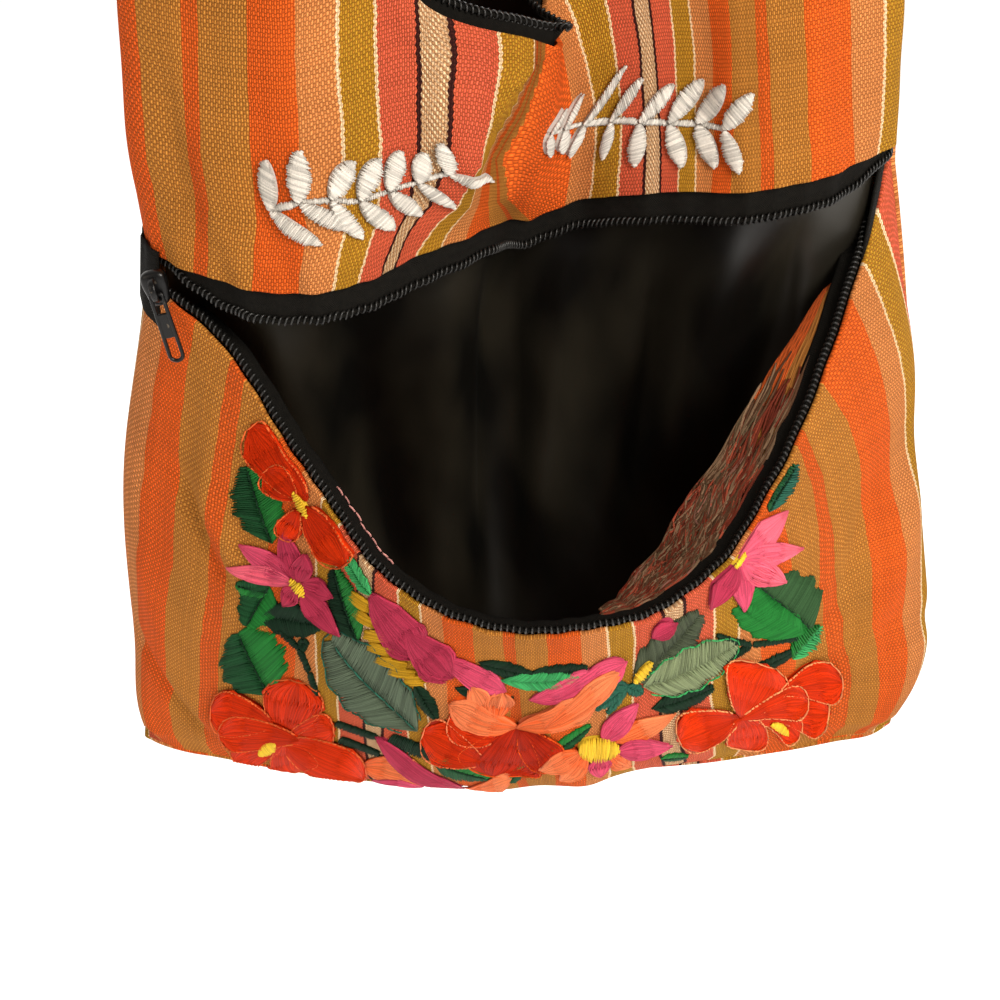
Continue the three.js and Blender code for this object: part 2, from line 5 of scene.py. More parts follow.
import bpy
import numpy as np
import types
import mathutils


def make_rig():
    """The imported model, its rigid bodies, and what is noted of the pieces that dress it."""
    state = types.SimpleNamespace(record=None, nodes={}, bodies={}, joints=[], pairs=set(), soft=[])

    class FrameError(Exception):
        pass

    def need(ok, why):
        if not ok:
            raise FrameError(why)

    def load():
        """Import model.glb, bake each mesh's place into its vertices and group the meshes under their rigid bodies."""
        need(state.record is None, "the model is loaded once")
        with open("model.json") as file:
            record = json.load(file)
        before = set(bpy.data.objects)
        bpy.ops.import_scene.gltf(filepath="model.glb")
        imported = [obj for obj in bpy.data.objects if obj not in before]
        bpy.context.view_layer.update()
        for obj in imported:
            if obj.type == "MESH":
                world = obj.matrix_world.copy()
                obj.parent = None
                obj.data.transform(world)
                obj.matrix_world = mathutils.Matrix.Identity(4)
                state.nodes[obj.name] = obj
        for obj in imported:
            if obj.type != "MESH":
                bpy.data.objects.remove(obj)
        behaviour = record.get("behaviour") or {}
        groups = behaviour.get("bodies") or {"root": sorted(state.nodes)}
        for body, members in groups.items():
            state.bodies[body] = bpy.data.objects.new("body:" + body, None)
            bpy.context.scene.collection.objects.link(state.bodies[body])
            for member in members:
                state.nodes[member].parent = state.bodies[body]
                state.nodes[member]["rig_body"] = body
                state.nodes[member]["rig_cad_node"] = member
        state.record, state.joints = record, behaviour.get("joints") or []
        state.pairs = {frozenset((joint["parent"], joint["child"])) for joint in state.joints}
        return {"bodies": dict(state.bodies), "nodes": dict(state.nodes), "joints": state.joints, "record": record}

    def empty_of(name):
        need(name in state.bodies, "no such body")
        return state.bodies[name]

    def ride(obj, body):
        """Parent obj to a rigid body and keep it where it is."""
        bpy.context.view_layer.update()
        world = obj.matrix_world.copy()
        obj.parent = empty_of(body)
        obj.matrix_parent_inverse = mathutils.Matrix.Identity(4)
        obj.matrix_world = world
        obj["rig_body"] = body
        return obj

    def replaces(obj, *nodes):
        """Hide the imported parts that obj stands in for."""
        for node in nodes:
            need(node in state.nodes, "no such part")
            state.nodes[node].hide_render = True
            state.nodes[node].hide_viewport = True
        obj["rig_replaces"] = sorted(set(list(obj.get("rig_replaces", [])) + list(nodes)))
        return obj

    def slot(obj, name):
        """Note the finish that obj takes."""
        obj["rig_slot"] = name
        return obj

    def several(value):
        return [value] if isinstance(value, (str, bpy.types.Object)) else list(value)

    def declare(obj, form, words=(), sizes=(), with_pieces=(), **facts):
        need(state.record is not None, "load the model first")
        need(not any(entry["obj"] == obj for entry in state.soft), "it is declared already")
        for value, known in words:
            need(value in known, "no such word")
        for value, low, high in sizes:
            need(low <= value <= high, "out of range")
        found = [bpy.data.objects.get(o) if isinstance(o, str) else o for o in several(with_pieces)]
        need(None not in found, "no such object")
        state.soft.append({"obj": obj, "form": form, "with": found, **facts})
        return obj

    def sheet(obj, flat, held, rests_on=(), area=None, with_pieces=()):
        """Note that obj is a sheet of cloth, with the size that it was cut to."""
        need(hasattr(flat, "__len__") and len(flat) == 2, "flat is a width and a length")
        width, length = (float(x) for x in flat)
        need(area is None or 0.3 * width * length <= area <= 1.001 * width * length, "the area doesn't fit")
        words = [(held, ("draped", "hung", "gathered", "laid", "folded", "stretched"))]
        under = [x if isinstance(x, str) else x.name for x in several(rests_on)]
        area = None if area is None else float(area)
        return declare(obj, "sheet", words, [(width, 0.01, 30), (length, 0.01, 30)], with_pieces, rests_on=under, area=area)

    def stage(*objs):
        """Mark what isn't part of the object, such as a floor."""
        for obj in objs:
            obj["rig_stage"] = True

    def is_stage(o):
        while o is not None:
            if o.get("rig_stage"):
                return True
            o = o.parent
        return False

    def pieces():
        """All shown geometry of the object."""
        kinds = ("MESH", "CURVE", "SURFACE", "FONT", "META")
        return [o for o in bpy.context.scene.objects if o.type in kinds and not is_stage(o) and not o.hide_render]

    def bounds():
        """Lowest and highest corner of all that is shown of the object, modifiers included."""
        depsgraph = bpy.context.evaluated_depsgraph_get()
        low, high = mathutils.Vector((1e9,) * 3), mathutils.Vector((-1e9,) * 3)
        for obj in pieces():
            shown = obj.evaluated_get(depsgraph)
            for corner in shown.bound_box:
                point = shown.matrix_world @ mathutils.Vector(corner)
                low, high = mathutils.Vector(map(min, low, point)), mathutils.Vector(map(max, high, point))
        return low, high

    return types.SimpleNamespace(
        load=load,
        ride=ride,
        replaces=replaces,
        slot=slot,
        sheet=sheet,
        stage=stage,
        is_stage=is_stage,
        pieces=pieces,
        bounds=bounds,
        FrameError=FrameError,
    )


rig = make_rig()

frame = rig.load()
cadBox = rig.bounds()
print("frame loaded:", len(frame["nodes"]), "nodes")

mm = 0.001
hangHeight = 700.0  # tables count up from the bottom corners, the frame down from the strap's top
dice = np.random.default_rng(11)


# Number helpers
def unit(vectors):
    return vectors / np.maximum(np.linalg.norm(vectors, axis=-1, keepdims=True), 1e-9)


def squareTo(vectors, tangent):  # the part of the vectors square to the tangent
    return unit(vectors - tangent * (vectors * tangent).sum(-1, keepdims=True))


def mix(a, b, share):
    return a + (b - a) * share


def smooth(x, low, high):
    t = np.clip((x - low) / (high - low), 0, 1)
    return t * t * (3 - 2 * t)


def holdSides(u, margin):  # nothing at both sides of a sheet, one inside its margins
    return smooth(u, 0, margin) * smooth(u, 1, 1 - margin)


def bump(offset, reach):  # one in the middle, nothing beyond the reach
    return np.where(np.abs(offset) < reach, np.cos(np.pi * np.clip(offset / reach, -1, 1) / 2) ** 2, 0)


def toFrame(points):  # millimetres above the bottom corners to metres below the strap's top
    return ((points - np.array([0, 0, hangHeight])) * mm).reshape(-1, 3)


def dye(red, green, blue):  # a colour as it looks on a screen, made linear
    c = np.array([red, green, blue]) / 255
    return tuple(np.where(c <= 0.04045, c / 12.92, ((c + 0.055) / 1.055) ** 2.4))


def table(columns, *rows):  # each value of a row under the name of its column
    return [dict(zip(columns.split(), row)) for row in rows]


def gridShares(columns, rows):
    return np.meshgrid(np.linspace(0, 1, columns), np.linspace(0, 1, rows), indexing="ij")


def runningLength(path):
    return np.concatenate([[0], np.cumsum(np.linalg.norm(np.diff(path, axis=0), axis=1))])


def readOff(at, run, rows):  # rows of three numbers, read off between their places on the run
    return np.stack([np.interp(at, run, rows[:, k]) for k in range(3)], axis=-1)


def spaced(path, step):  # the path again with even steps
    run = runningLength(path)
    at = np.linspace(0, run[-1], max(2, int(run[-1] / step) + 1))
    return readOff(at, run, path), at / run[-1]


# Slow unevenness of hand-made cloth: a sum of sine waves with seeded directions and phases.
def unevenness(a, b, wave, seed, waves=6):
    turn = np.random.default_rng(seed)
    total = np.zeros(np.broadcast(a, b).shape)
    for _ in range(waves):
        angle = turn.uniform(0, 2 * np.pi)
        length = wave * turn.uniform(0.6, 1.6)
        phase = turn.uniform(0, 6.28)
        total += np.sin(2 * np.pi * (a * np.cos(angle) + b * np.sin(angle)) / length + phase)
    return total / waves


# Section tables of the cloth, the same forms as the solids
pocketSections = table(
    "at foot belly lip flare",
    (0.00, (-137, 0, -7), (-128, -3, 92), (-113, -42, 203), 0),
    (0.05, (-130, -6, -6), (-133, -20, 88), (-110, -59, 200), 0),
    (0.14, (-114, -12, -6), (-116, -47, 82), (-90, -75, 188), 2),
    (0.26, (-84, -16, -10), (-83, -64, 67), (-67, -95, 160), 6),
    (0.38, (-48, -19, -13), (-49, -74, 51), (-44, -110, 132), 14),
    (0.48, (-18, -20, -14), (-20, -77, 39), (-21, -118, 119), 21),
    (0.57, (8, -20, -8), (8, -76, 38), (4, -120, 116), 23),
    (0.66, (34, -19, -7), (36, -72, 43), (30, -114, 116), 21),
    (0.75, (62, -17, -6), (66, -62, 54), (55, -98, 124), 14),
    (0.84, (91, -14, -3), (96, -44, 74), (75, -74, 142), 6),
    (0.91, (112, -9, -2), (120, -26, 92), (93, -44, 170), 2),
    (0.96, (125, -4, -3), (135, -4, 98), (108, -12, 198), 0),
    (1.00, (133, 3, -3), (131, 12, 102), (114, 8, 213), 0),
)
upperSections = table(
    "at hem waist top",
    (0.00, (-112, -42, 208), (-112, -26, 290), (-100, -7, 400)),
    (0.05, (-110, -56, 209), (-115, -36, 290), (-102, -11, 400)),
    (0.14, (-92, -76, 208), (-99, -54, 290), (-87, -11, 400)),
    (0.24, (-70, -87, 208), (-79, -64, 287), (-67, -11, 400)),
    (0.34, (-46, -82, 209), (-56, -67, 280), (-48, -11, 400)),
    (0.42, (-26, -68, 213), (-28, -67, 252), (-31, -60, 283)),
    (0.48, (-10, -50, 213), (-2, -58, 242), (0, -50, 268)),
    (0.53, (0, -26, 205), (6, -38, 236), (9, -40, 263)),
    (0.59, (14, -22, 209), (15, -26, 242), (5, -27, 272)),
    (0.67, (38, -34, 216), (33, -24, 272), (18, -13, 340)),
    (0.75, (62, -41, 219), (56, -26, 290), (44, -11, 400)),
    (0.83, (84, -36, 221), (78, -26, 290), (62, -11, 400)),
    (0.91, (103, -20, 222), (98, -14, 290), (82, -11, 400)),
    (0.96, (113, -4, 221), (109, -4, 290), (98, -10, 400)),
    (1.00, (114, 8, 220), (109, 8, 290), (96, -6, 400)),
)
pocketFolds = table(
    "across reach low high out",
    (0.17, 0.05, 0.35, 1.10, 3.0),
    (0.47, 0.06, -0.20, 0.62, -4.0),
    (0.62, 0.07, 0.05, 0.55, 1.0),
    (0.88, 0.05, 0.20, 1.00, -3.0),
)
upperFolds = table(
    "across reach low high out",
    (0.19, 0.06, 0.05, 1.10, -3.0),
    (0.30, 0.06, -0.30, 0.90, 3.5),
    (0.70, 0.06, -0.30, 0.90, -4.0),
    (0.87, 0.05, -0.10, 0.90, -2.5),
)
backSwell = table(
    "at swell",
    (0.00, 0),
    (0.05, 11),
    (0.18, 24),
    (0.45, 38),
    (0.72, 34),
    (1.00, 3),
)
flarePower = 6  # how sharply the lip turns out
zipShare = 0.52  # share of a side seam below the pocket's zip
backForm = {
    "seamGap": 1.1, "dipPower": 3, "swellPower": 0.6, "mouthHalf": 0.25, "mouthDrop": 0.29,
    "mouthPower": 2.5,
}


# One column of a table at a share of its length: a cubic through the rows that never swings past them,
# its slope at a row the harmonic mean of the steps either side.
def through(rows, column, share):
    at = np.array([row["at"] for row in rows])
    values = np.array([np.atleast_1d(row[column]) for row in rows], float)
    step = np.diff(values, axis=0) / np.diff(at)[:, None]
    slope = np.zeros_like(values)
    slope[0], slope[-1] = step[0], step[-1]
    agree = step[:-1] * step[1:] > 0
    slope[1:-1] = np.where(agree, 2 * step[:-1] * step[1:] / np.where(agree, step[:-1] + step[1:], 1), 0)
    i = np.clip(np.searchsorted(at, share) - 1, 0, len(at) - 2)
    span = (at[i + 1] - at[i])[..., None]
    t = (share - at[i])[..., None] / span
    low = (2 * t**3 - 3 * t**2 + 1) * values[i] + (t**3 - 2 * t**2 + t) * span * slope[i]
    high = (3 * t**2 - 2 * t**3) * values[i + 1] + (t**3 - t**2) * span * slope[i + 1]
    return low + high


def arcThrough(low, middle, high, share):  # parabola through three points, the middle one at half way
    s = share[..., None]
    return low * (1 - s) * (1 - 2 * s) + middle * 4 * s * (1 - s) + high * s * (2 * s - 1)


def foldOut(folds, u, v):
    total = 0
    for fold in folds:
        middle = (fold["low"] + fold["high"]) / 2
        half = (fold["high"] - fold["low"]) / 2
        total = total + fold["out"] * bump(u - fold["across"], fold["reach"]) * bump(v - middle, half)
    return total


def spreadOut(u, v):
    return np.broadcast_arrays(np.asarray(u, float), np.asarray(v, float))


# Pocket front: foot, belly and lip on a parabola, the lip turned out as the sixth power of the height.
def pocketAt(u, v):
    u, v = spreadOut(u, v)
    foot, belly, lip, flare = (through(pocketSections, name, u) for name in ("foot", "belly", "lip", "flare"))
    flare = flare[..., 0]
    lip[..., 1] += flare
    point = arcThrough(foot, belly, lip, v)
    point[..., 1] -= flare * np.abs(v) ** flarePower + foldOut(pocketFolds, u, v)
    return point


# Upper front: hem, waist and top on a parabola.
def upperAt(u, v):
    u, v = spreadOut(u, v)
    point = arcThrough(*(through(upperSections, name, u) for name in ("hem", "waist", "top")), v)
    point[..., 1] -= foldOut(upperFolds, u, v)
    return point


def sideSeam(side, share):
    low = pocketAt(side, np.clip(share / zipShare, 0, 1))
    high = upperAt(side, np.clip((share - zipShare) / (1 - zipShare), 0, 1))
    return np.where((share < zipShare)[..., None], low, high)


# Back: straight between the side seams, dipped at the foot as the pocket is, and swelled out behind.
def backAt(u, share):
    u, share = spreadOut(u, share)
    point = mix(sideSeam(1.0, share), sideSeam(0.0, share), u[..., None])
    straightFoot = mix(pocketAt(1.0, 0.0), pocketAt(0.0, 0.0), u[..., None])
    dip = (1 - share) ** backForm["dipPower"]
    point = point + (pocketAt(1 - u, 0.0) - straightFoot) * dip[..., None]
    swell = through(backSwell, "swell", share)[..., 0]
    point[..., 1] += backForm["seamGap"] + swell * np.clip(4 * u * (1 - u), 0, 1) ** backForm["swellPower"]
    return point


def backSheet(u, v):
    u, v = spreadOut(u, v)
    fromMiddle = np.abs(u - 0.5) / backForm["mouthHalf"]
    top = 1 - backForm["mouthDrop"] * np.maximum(0, 1 - fromMiddle ** backForm["mouthPower"])
    return backAt(u, v * top)


# Directions of a surface along its two parameters and out of its face, by small steps.
def facing(surface, u, v, step=1e-3):
    u, v = spreadOut(u, v)
    alongU = unit(surface(np.minimum(u + step, 1), v) - surface(np.maximum(u - step, 0), v))
    alongV = unit(surface(u, np.minimum(v + step, 1)) - surface(u, np.maximum(v - step, 0)))
    return alongU, alongV, unit(np.cross(alongU, alongV))


def raised(surface, u, v, relief):  # the surface with a relief along its face
    return surface(u, v) + facing(surface, u, v)[2] * relief[..., None]


creaseFade = {"start": (-0.15, 0.3), "end": (1.15, 0.7)}  # shares of a crease's length


# Creases pressed into a panel, in millimetres on the panel laid flat: each runs from one place to another,
# a bell curve across its line, fading at both ends.
def creases(rows, a, b):
    total = 0
    for row in rows:
        (a0, b0), (a1, b1) = row["start"], row["end"]
        length = math.hypot(a1 - a0, b1 - b0)
        along = ((a - a0) * (a1 - a0) + (b - b0) * (b1 - b0)) / length**2
        off = ((a - a0) * (b1 - b0) - (b - b0) * (a1 - a0)) / length
        fade = smooth(along, *creaseFade["start"]) * smooth(along, *creaseFade["end"])
        total = total + row["deep"] * np.exp(-((off / row["wide"]) ** 2)) * fade
    return total


# Relief of a front panel: its creases, slow unevenness, and puckers along the edge sewn to the pocket's zip.
def panelRelief(flat, rows, u, v):
    a, b = u * flat["wide"], v * flat["tall"]
    ripple = np.sin(2 * np.pi * a / flat["puckerPitch"] + 2 * np.sin(a / flat["puckerDrift"]))
    pucker = flat["pucker"] * ripple * smooth(v, *flat["puckerFrom"])
    return creases(rows, a, b) + flat["uneven"] * unevenness(a, b, flat["wave"], flat["seed"]) + pucker


frontHold = 0.04  # share of a front panel's width over which its relief fades at a side seam
pocketFlat = {"wide": 330.0, "tall": 190.0, "uneven": 0.9, "wave": 55, "seed": 3,
              "pucker": 0.2, "puckerPitch": 11, "puckerDrift": 17, "puckerFrom": (0.86, 1.0)}
pocketCreases = table(
    "start end wide deep",
    ((40, 178), (66, 100), 6, -1.6),
    ((26, 150), (46, 60), 8, 1.8),
    ((42, 148), (72, 121), 4, -2.6),
    ((50, 154), (78, 130), 6, 1.5),
    ((26, 64), (54, 18), 5, -2.8),
    ((35, 70), (62, 26), 7, 1.4),
    ((178, 60), (177, 150), 7, -3.0),
    ((203, 50), (196, 90), 8, 1.2),
    ((300, 130), (272, 60), 6, -1.8),
    ((314, 112), (288, 36), 7, 1.7),
    ((284, 160), (304, 84), 5, -1.2),
    ((322, 150), (306, 70), 5, 1.3),
    ((296, 60), (322, 44), 5, -1.5),
)
# Slack of the pocket's sides: where each swelling or hollow is, how far it spreads and how far it stands out.
pocketSwells = table(
    "at wide tall out",
    ((316, 30), 22, 33, 9.0),
    ((312, 114), 16, 28, -5.5),
    ((14, 17), 15, 27, 4.7),
)


def pocketCloth(u, v):
    u, v = spreadOut(u, v)
    relief = panelRelief(pocketFlat, pocketCreases, u, v)
    for swell in pocketSwells:
        across = (u * pocketFlat["wide"] - swell["at"][0]) / swell["wide"]
        up = (v * pocketFlat["tall"] - swell["at"][1]) / swell["tall"]
        relief = relief + swell["out"] * np.exp(-(across**2) - up**2) * smooth(v, 0, 0.06)
    return raised(pocketAt, u, v, relief * holdSides(u, frontHold))


upperFlat = {"wide": 320.0, "tall": 190.0, "uneven": 0.8, "wave": 60, "seed": 5,
             "pucker": 0.4, "puckerPitch": 12, "puckerDrift": 19, "puckerFrom": (0.14, 0.0)}
upperCreases = table(
    "start end wide deep",
    ((52, -10), (40, 70), 7, -1.5),
    ((92, -10), (100, 60), 8, 1.6),
    ((120, -8), (136, 40), 6, -1.4),
    ((205, -10), (196, 60), 7, 1.5),
    ((232, -8), (228, 90), 6, -2.2),
    ((286, -8), (276, 70), 7, -1.4),
)
# Deep fold under the mouth's corner: the column it runs on at each height, and how far it stands out.
mouthFold = {
    "at": [0.0, 0.3, 0.5, 0.75, 0.9, 1.0],
    "column": [0.445, 0.453, 0.457, 0.472, 0.488, 0.52],
    "out": 6.0, "leftReach": 20.0, "rightReach": 14.0, "sharp": 1.6,
    "starts": (0.05, 0.45), "eases": (0.85, 1.0), "easedTo": 0.25,
}


def upperCloth(u, v):
    u, v = spreadOut(u, v)
    relief = panelRelief(upperFlat, upperCreases, u, v)
    point = raised(upperAt, u, v, relief * holdSides(u, frontHold))
    past = (u - np.interp(v, mouthFold["at"], mouthFold["column"])) * upperFlat["wide"]
    ridge = np.exp(np.minimum(past, 0) / mouthFold["leftReach"])
    valley = -np.exp(-np.maximum(past, 0) / mouthFold["rightReach"])
    step = mix(ridge, valley, smooth(past, -mouthFold["sharp"], mouthFold["sharp"]))
    strength = smooth(v, *mouthFold["starts"]) * mix(1, mouthFold["easedTo"], smooth(v, *mouthFold["eases"]))
    point[..., 1] -= mouthFold["out"] * step * strength
    return point


backFlat = {"wide": 280, "tall": 400, "hold": 0.06}
backWaves = table(
    "out wave seed across up",
    (2.4, 110, 8, 1.0, 1.0),
    (1.1, 60, 9, 1.6, 0.5),
)


def backCloth(u, v):
    u, v = spreadOut(u, v)
    a, b = u * backFlat["wide"], v * backFlat["tall"]
    relief = 0
    for row in backWaves:
        relief = relief + row["out"] * unevenness(a * row["across"], b * row["up"], row["wave"], row["seed"])
    return raised(backSheet, u, v, relief * holdSides(u, backFlat["hold"]) * smooth(v, 0, backFlat["hold"]))


# Mesh makers
def addToScene(name, data):
    thing = bpy.data.objects.new(name, data)
    bpy.context.scene.collection.objects.link(thing)
    return thing


def makeObject(name, points, quads, triangles=None, uv=None, values=None, colours=None):
    mesh = bpy.data.meshes.new(name)
    corners = [quads.reshape(-1)]
    starts = [np.arange(len(quads)) * 4]
    if triangles is not None:
        corners.append(triangles.reshape(-1))
        starts.append(quads.size + np.arange(len(triangles)) * 3)
    corners = np.concatenate(corners).astype(np.int32)
    starts = np.concatenate(starts).astype(np.int32)
    mesh.vertices.add(len(points))
    mesh.vertices.foreach_set("co", points.astype(np.float32).ravel())
    mesh.loops.add(len(corners))
    mesh.loops.foreach_set("vertex_index", corners)
    mesh.polygons.add(len(starts))
    mesh.polygons.foreach_set("loop_start", starts)
    mesh.polygons.foreach_set("use_smooth", np.ones(len(starts), bool))
    if uv is not None:
        uv = uv.reshape(-1, 2)[corners].astype(np.float32)
        mesh.uv_layers.new(name="lay").data.foreach_set("uv", uv.ravel())
    for key, array in (values or {}).items():
        layer = mesh.attributes.new(key, "FLOAT", "POINT")
        layer.data.foreach_set("value", array.astype(np.float32).ravel())
    if colours is not None:
        rgba = np.concatenate([colours, np.ones((len(colours), 1))], axis=1).astype(np.float32)
        mesh.attributes.new("thread", "FLOAT_COLOR", "POINT").data.foreach_set("color", rgba.ravel())
    mesh.update(calc_edges=True)
    mesh.validate()
    return addToScene(name, mesh)


def gridQuads(columns, rows, roundColumns=False, roundRows=False):  # faces of a grid stored column by column
    i = np.arange(columns if roundColumns else columns - 1)
    j = np.arange(rows if roundRows else rows - 1)
    i, j = np.meshgrid(i, j, indexing="ij")
    after, above = (i + 1) % columns, (j + 1) % rows
    quads = np.stack([i * rows + j, after * rows + j, after * rows + above, i * rows + above], axis=-1)
    return quads.reshape(-1, 4)


def finishPiece(piece, look, replaced=(), body="bag"):
    material, slot = look
    piece.data.materials.append(material)
    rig.ride(piece, body)
    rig.slot(piece, slot)
    if replaced:
        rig.replaces(piece, *replaced)
    return piece


rimPlan = {"segments": 2, "angle": 55}


def thicken(piece, thickness, soft=0.0):
    wall = piece.modifiers.new("wall", "SOLIDIFY")
    wall.thickness = thickness * mm
    wall.offset = -1
    if soft:
        rim = piece.modifiers.new("soft rim", "BEVEL")
        rim.width = soft * mm
        rim.segments = rimPlan["segments"]
        rim.limit_method = "ANGLE"
        rim.angle_limit = math.radians(rimPlan["angle"])


def lengthAlong(points, way):  # running length in millimetres along one way of a grid
    step = np.linalg.norm(np.diff(points, axis=way), axis=-1)
    return np.cumsum(np.pad(step, [(1, 0), (0, 0)] if way == 0 else [(0, 0), (1, 0)]), axis=way)


# Sheet of cloth: a surface on a grid. Its own map is the warp thread's place across the cloth and the length
# up it.
def makeSheet(name, surface, columns, rows, warpAt=None):
    u, v = gridShares(columns, rows)
    points = surface(u, v)
    warp = lengthAlong(points, 0) if warpAt is None else warpAt(u, v)
    uv = np.stack([warp, lengthAlong(points, 1)], axis=-1)
    return makeObject(name, toFrame(points), gridQuads(columns, rows), uv=uv, values={"warp": warp})


def ringOf(sides, square):  # a circle, drawn out to a rounded square by a power below one
    angle = np.linspace(0, 2 * np.pi, sides, endpoint=False)
    return (np.sign(x) * np.abs(x) ** square for x in (np.cos(angle), np.sin(angle)))


tubeMapWide = 10.0  # width of a tube's own map where no warp is given


# Tube round a path: rings of a flattened circle, given the path and two directions square to it, with a fan
# of triangles over each end.
def makeTube(name, path, wideWay, thickWay, wide, thick, sides, square=1.0, warp=None):
    n = len(path)
    ringX, ringY = ringOf(sides, square)
    wide, thick = np.broadcast_to(wide, n), np.broadcast_to(thick, n)
    offset = ringX[None, :, None] * (wideWay * wide[:, None])[:, None] / 2
    offset = offset + ringY[None, :, None] * (thickWay * thick[:, None])[:, None] / 2
    points = np.concatenate([(path[:, None] + offset).reshape(-1, 3), path[[0, -1]]])
    k = np.arange(sides)
    after, lastRing = (k + 1) % sides, (n - 1) * sides
    first = np.stack([np.full(sides, n * sides), k, after], axis=-1)
    last = np.stack([np.full(sides, n * sides + 1), lastRing + after, lastRing + k], axis=-1)
    run = runningLength(path)
    around = np.broadcast_to(k * tubeMapWide / sides if warp is None else warp, (n, sides))
    across = np.concatenate([around.ravel(), [around[0].mean(), around[-1].mean()]])
    along = np.concatenate([np.repeat(run, sides), [0, run[-1]]])
    quads, fans = gridQuads(n, sides, roundRows=True), np.concatenate([first, last])
    uv = np.stack([across, along], axis=-1)
    return makeObject(name, toFrame(points), quads, fans, uv=uv, values={"warp": across})


# Shader helpers
def feed(tree, socket, value):  # a link from another node, or a fixed value
    if isinstance(value, bpy.types.NodeSocket):
        tree.links.new(value, socket)
    else:
        socket.default_value = value


def put(tree, kind, inputs=None, **settings):
    node = tree.nodes.new(kind)
    for key, value in settings.items():
        setattr(node, key, value)
    for key, value in (inputs or {}).items():
        feed(tree, node.inputs[key], value)
    return node


def sums(tree, operation, a, b=0.0, c=0.0):
    return put(tree, "ShaderNodeMath", {0: a, 1: b, 2: c}, operation=operation).outputs[0]


def times(tree, a, b):
    return sums(tree, "MULTIPLY", a, b)


def scaled(tree, a, by, plus):
    return sums(tree, "MULTIPLY_ADD", a, by, plus)


def noise(tree, place, scale, detail, **more):
    inputs = {"Vector": place, "Scale": scale, "Detail": detail, **more}
    return put(tree, "ShaderNodeTexNoise", inputs).outputs[0]


def ranged(tree, value, low=0.0, high=1.0, newLow=0.0, newHigh=1.0):
    return put(tree, "ShaderNodeMapRange", {0: value, 1: low, 2: high, 3: newLow, 4: newHigh}).outputs[0]


def blendColour(tree, share, a, b, kind="MIX"):
    a, b = (c if isinstance(c, bpy.types.NodeSocket) else (*c, 1) for c in (a, b))
    settings = {"data_type": "RGBA", "blend_type": kind, "clamp_factor": True}
    return put(tree, "ShaderNodeMix", {0: share, 6: a, 7: b}, **settings).outputs[2]


def shaded(tree, colour, light):  # a colour made darker or lighter
    grey = put(tree, "ShaderNodeCombineColor", {0: light, 1: light, 2: light}).outputs[0]
    return blendColour(tree, 1.0, colour, grey, "MULTIPLY")


def bumped(tree, height, strength, distance, **more):
    inputs = {"Height": height, "Strength": strength, "Distance": distance, **more}
    return put(tree, "ShaderNodeBump", inputs).outputs[0]


def useGroup(tree, group, inputs):
    return put(tree, "ShaderNodeGroup", inputs, node_tree=group).outputs


# New material with fixed values for its shader, and a function that feeds the shader's other inputs.
def newMaterial(name, **fixed):
    material = bpy.data.materials.new(name)
    material.use_nodes = True
    tree = material.node_tree
    inputs = tree.nodes["Principled BSDF"].inputs

    def give(**looks):
        for key, value in looks.items():
            feed(tree, inputs[key.replace("_", " ")], value)

    give(**fixed)
    return material, tree, give


def layMap(tree):  # the piece's own map, millimetres on the flat cloth
    uv = put(tree, "ShaderNodeUVMap", uv_map="lay").outputs[0]
    parts = put(tree, "ShaderNodeSeparateXYZ", {0: uv}).outputs
    return uv, parts[0], parts[1]


weavePlan = {"swayScale": 0.12, "crest": 0.6, "base": 0.4, "weftSeed": 71.3}


# Plain weave: square cells in a chequer, the warp arched over in one kind of cell and the weft in the other.
def buildWeaveGroup():
    group = bpy.data.node_groups.new("plainWeave", "ShaderNodeTree")
    number = "NodeSocketFloat"
    group.interface.new_socket("Map", in_out="INPUT", socket_type="NodeSocketVector")
    for label in ("Warp Pitch", "Weft Pitch", "Slub"):
        group.interface.new_socket(label, in_out="INPUT", socket_type=number)
    for label in ("Height", "Weft On Top", "Thread Tone"):
        group.interface.new_socket(label, in_out="OUTPUT", socket_type=number)
    given, out = group.nodes.new("NodeGroupInput").outputs, group.nodes.new("NodeGroupOutput").inputs
    sway = sums(group, "SUBTRACT", noise(group, given["Map"], weavePlan["swayScale"], 2.0), 0.5)
    drift = times(group, sway, given["Slub"])
    parts = put(group, "ShaderNodeSeparateXYZ", {0: given["Map"]}).outputs
    cell, arch = [], []
    for axis, pitch in enumerate(("Warp Pitch", "Weft Pitch")):
        place = sums(group, "DIVIDE", sums(group, "ADD", parts[axis], drift), given[pitch])
        cell.append(sums(group, "FLOOR", place))
        arch.append(sums(group, "SINE", times(group, sums(group, "FRACT", place), math.pi)))
    half = times(group, sums(group, "ADD", *cell), 0.5)
    odd = times(group, sums(group, "FRACT", half), 2.0)
    crest, base = weavePlan["crest"], weavePlan["base"]
    heights = [times(group, a, scaled(group, b, crest, base)) for a, b in (arch, arch[::-1])]
    tones = []
    for seed in (cell[0], sums(group, "ADD", cell[1], weavePlan["weftSeed"])):
        tones.append(put(group, "ShaderNodeTexWhiteNoise", {"W": seed}, noise_dimensions="1D").outputs[0])
    for label, (warp, weft) in (("Height", heights), ("Thread Tone", tones)):
        top = put(group, "ShaderNodeMix", {0: odd, 2: warp, 3: weft}, data_type="FLOAT").outputs[0]
        feed(group, out[label], top)
    feed(group, out["Weft On Top"], odd)
    return group


weaveGroup = buildWeaveGroup()

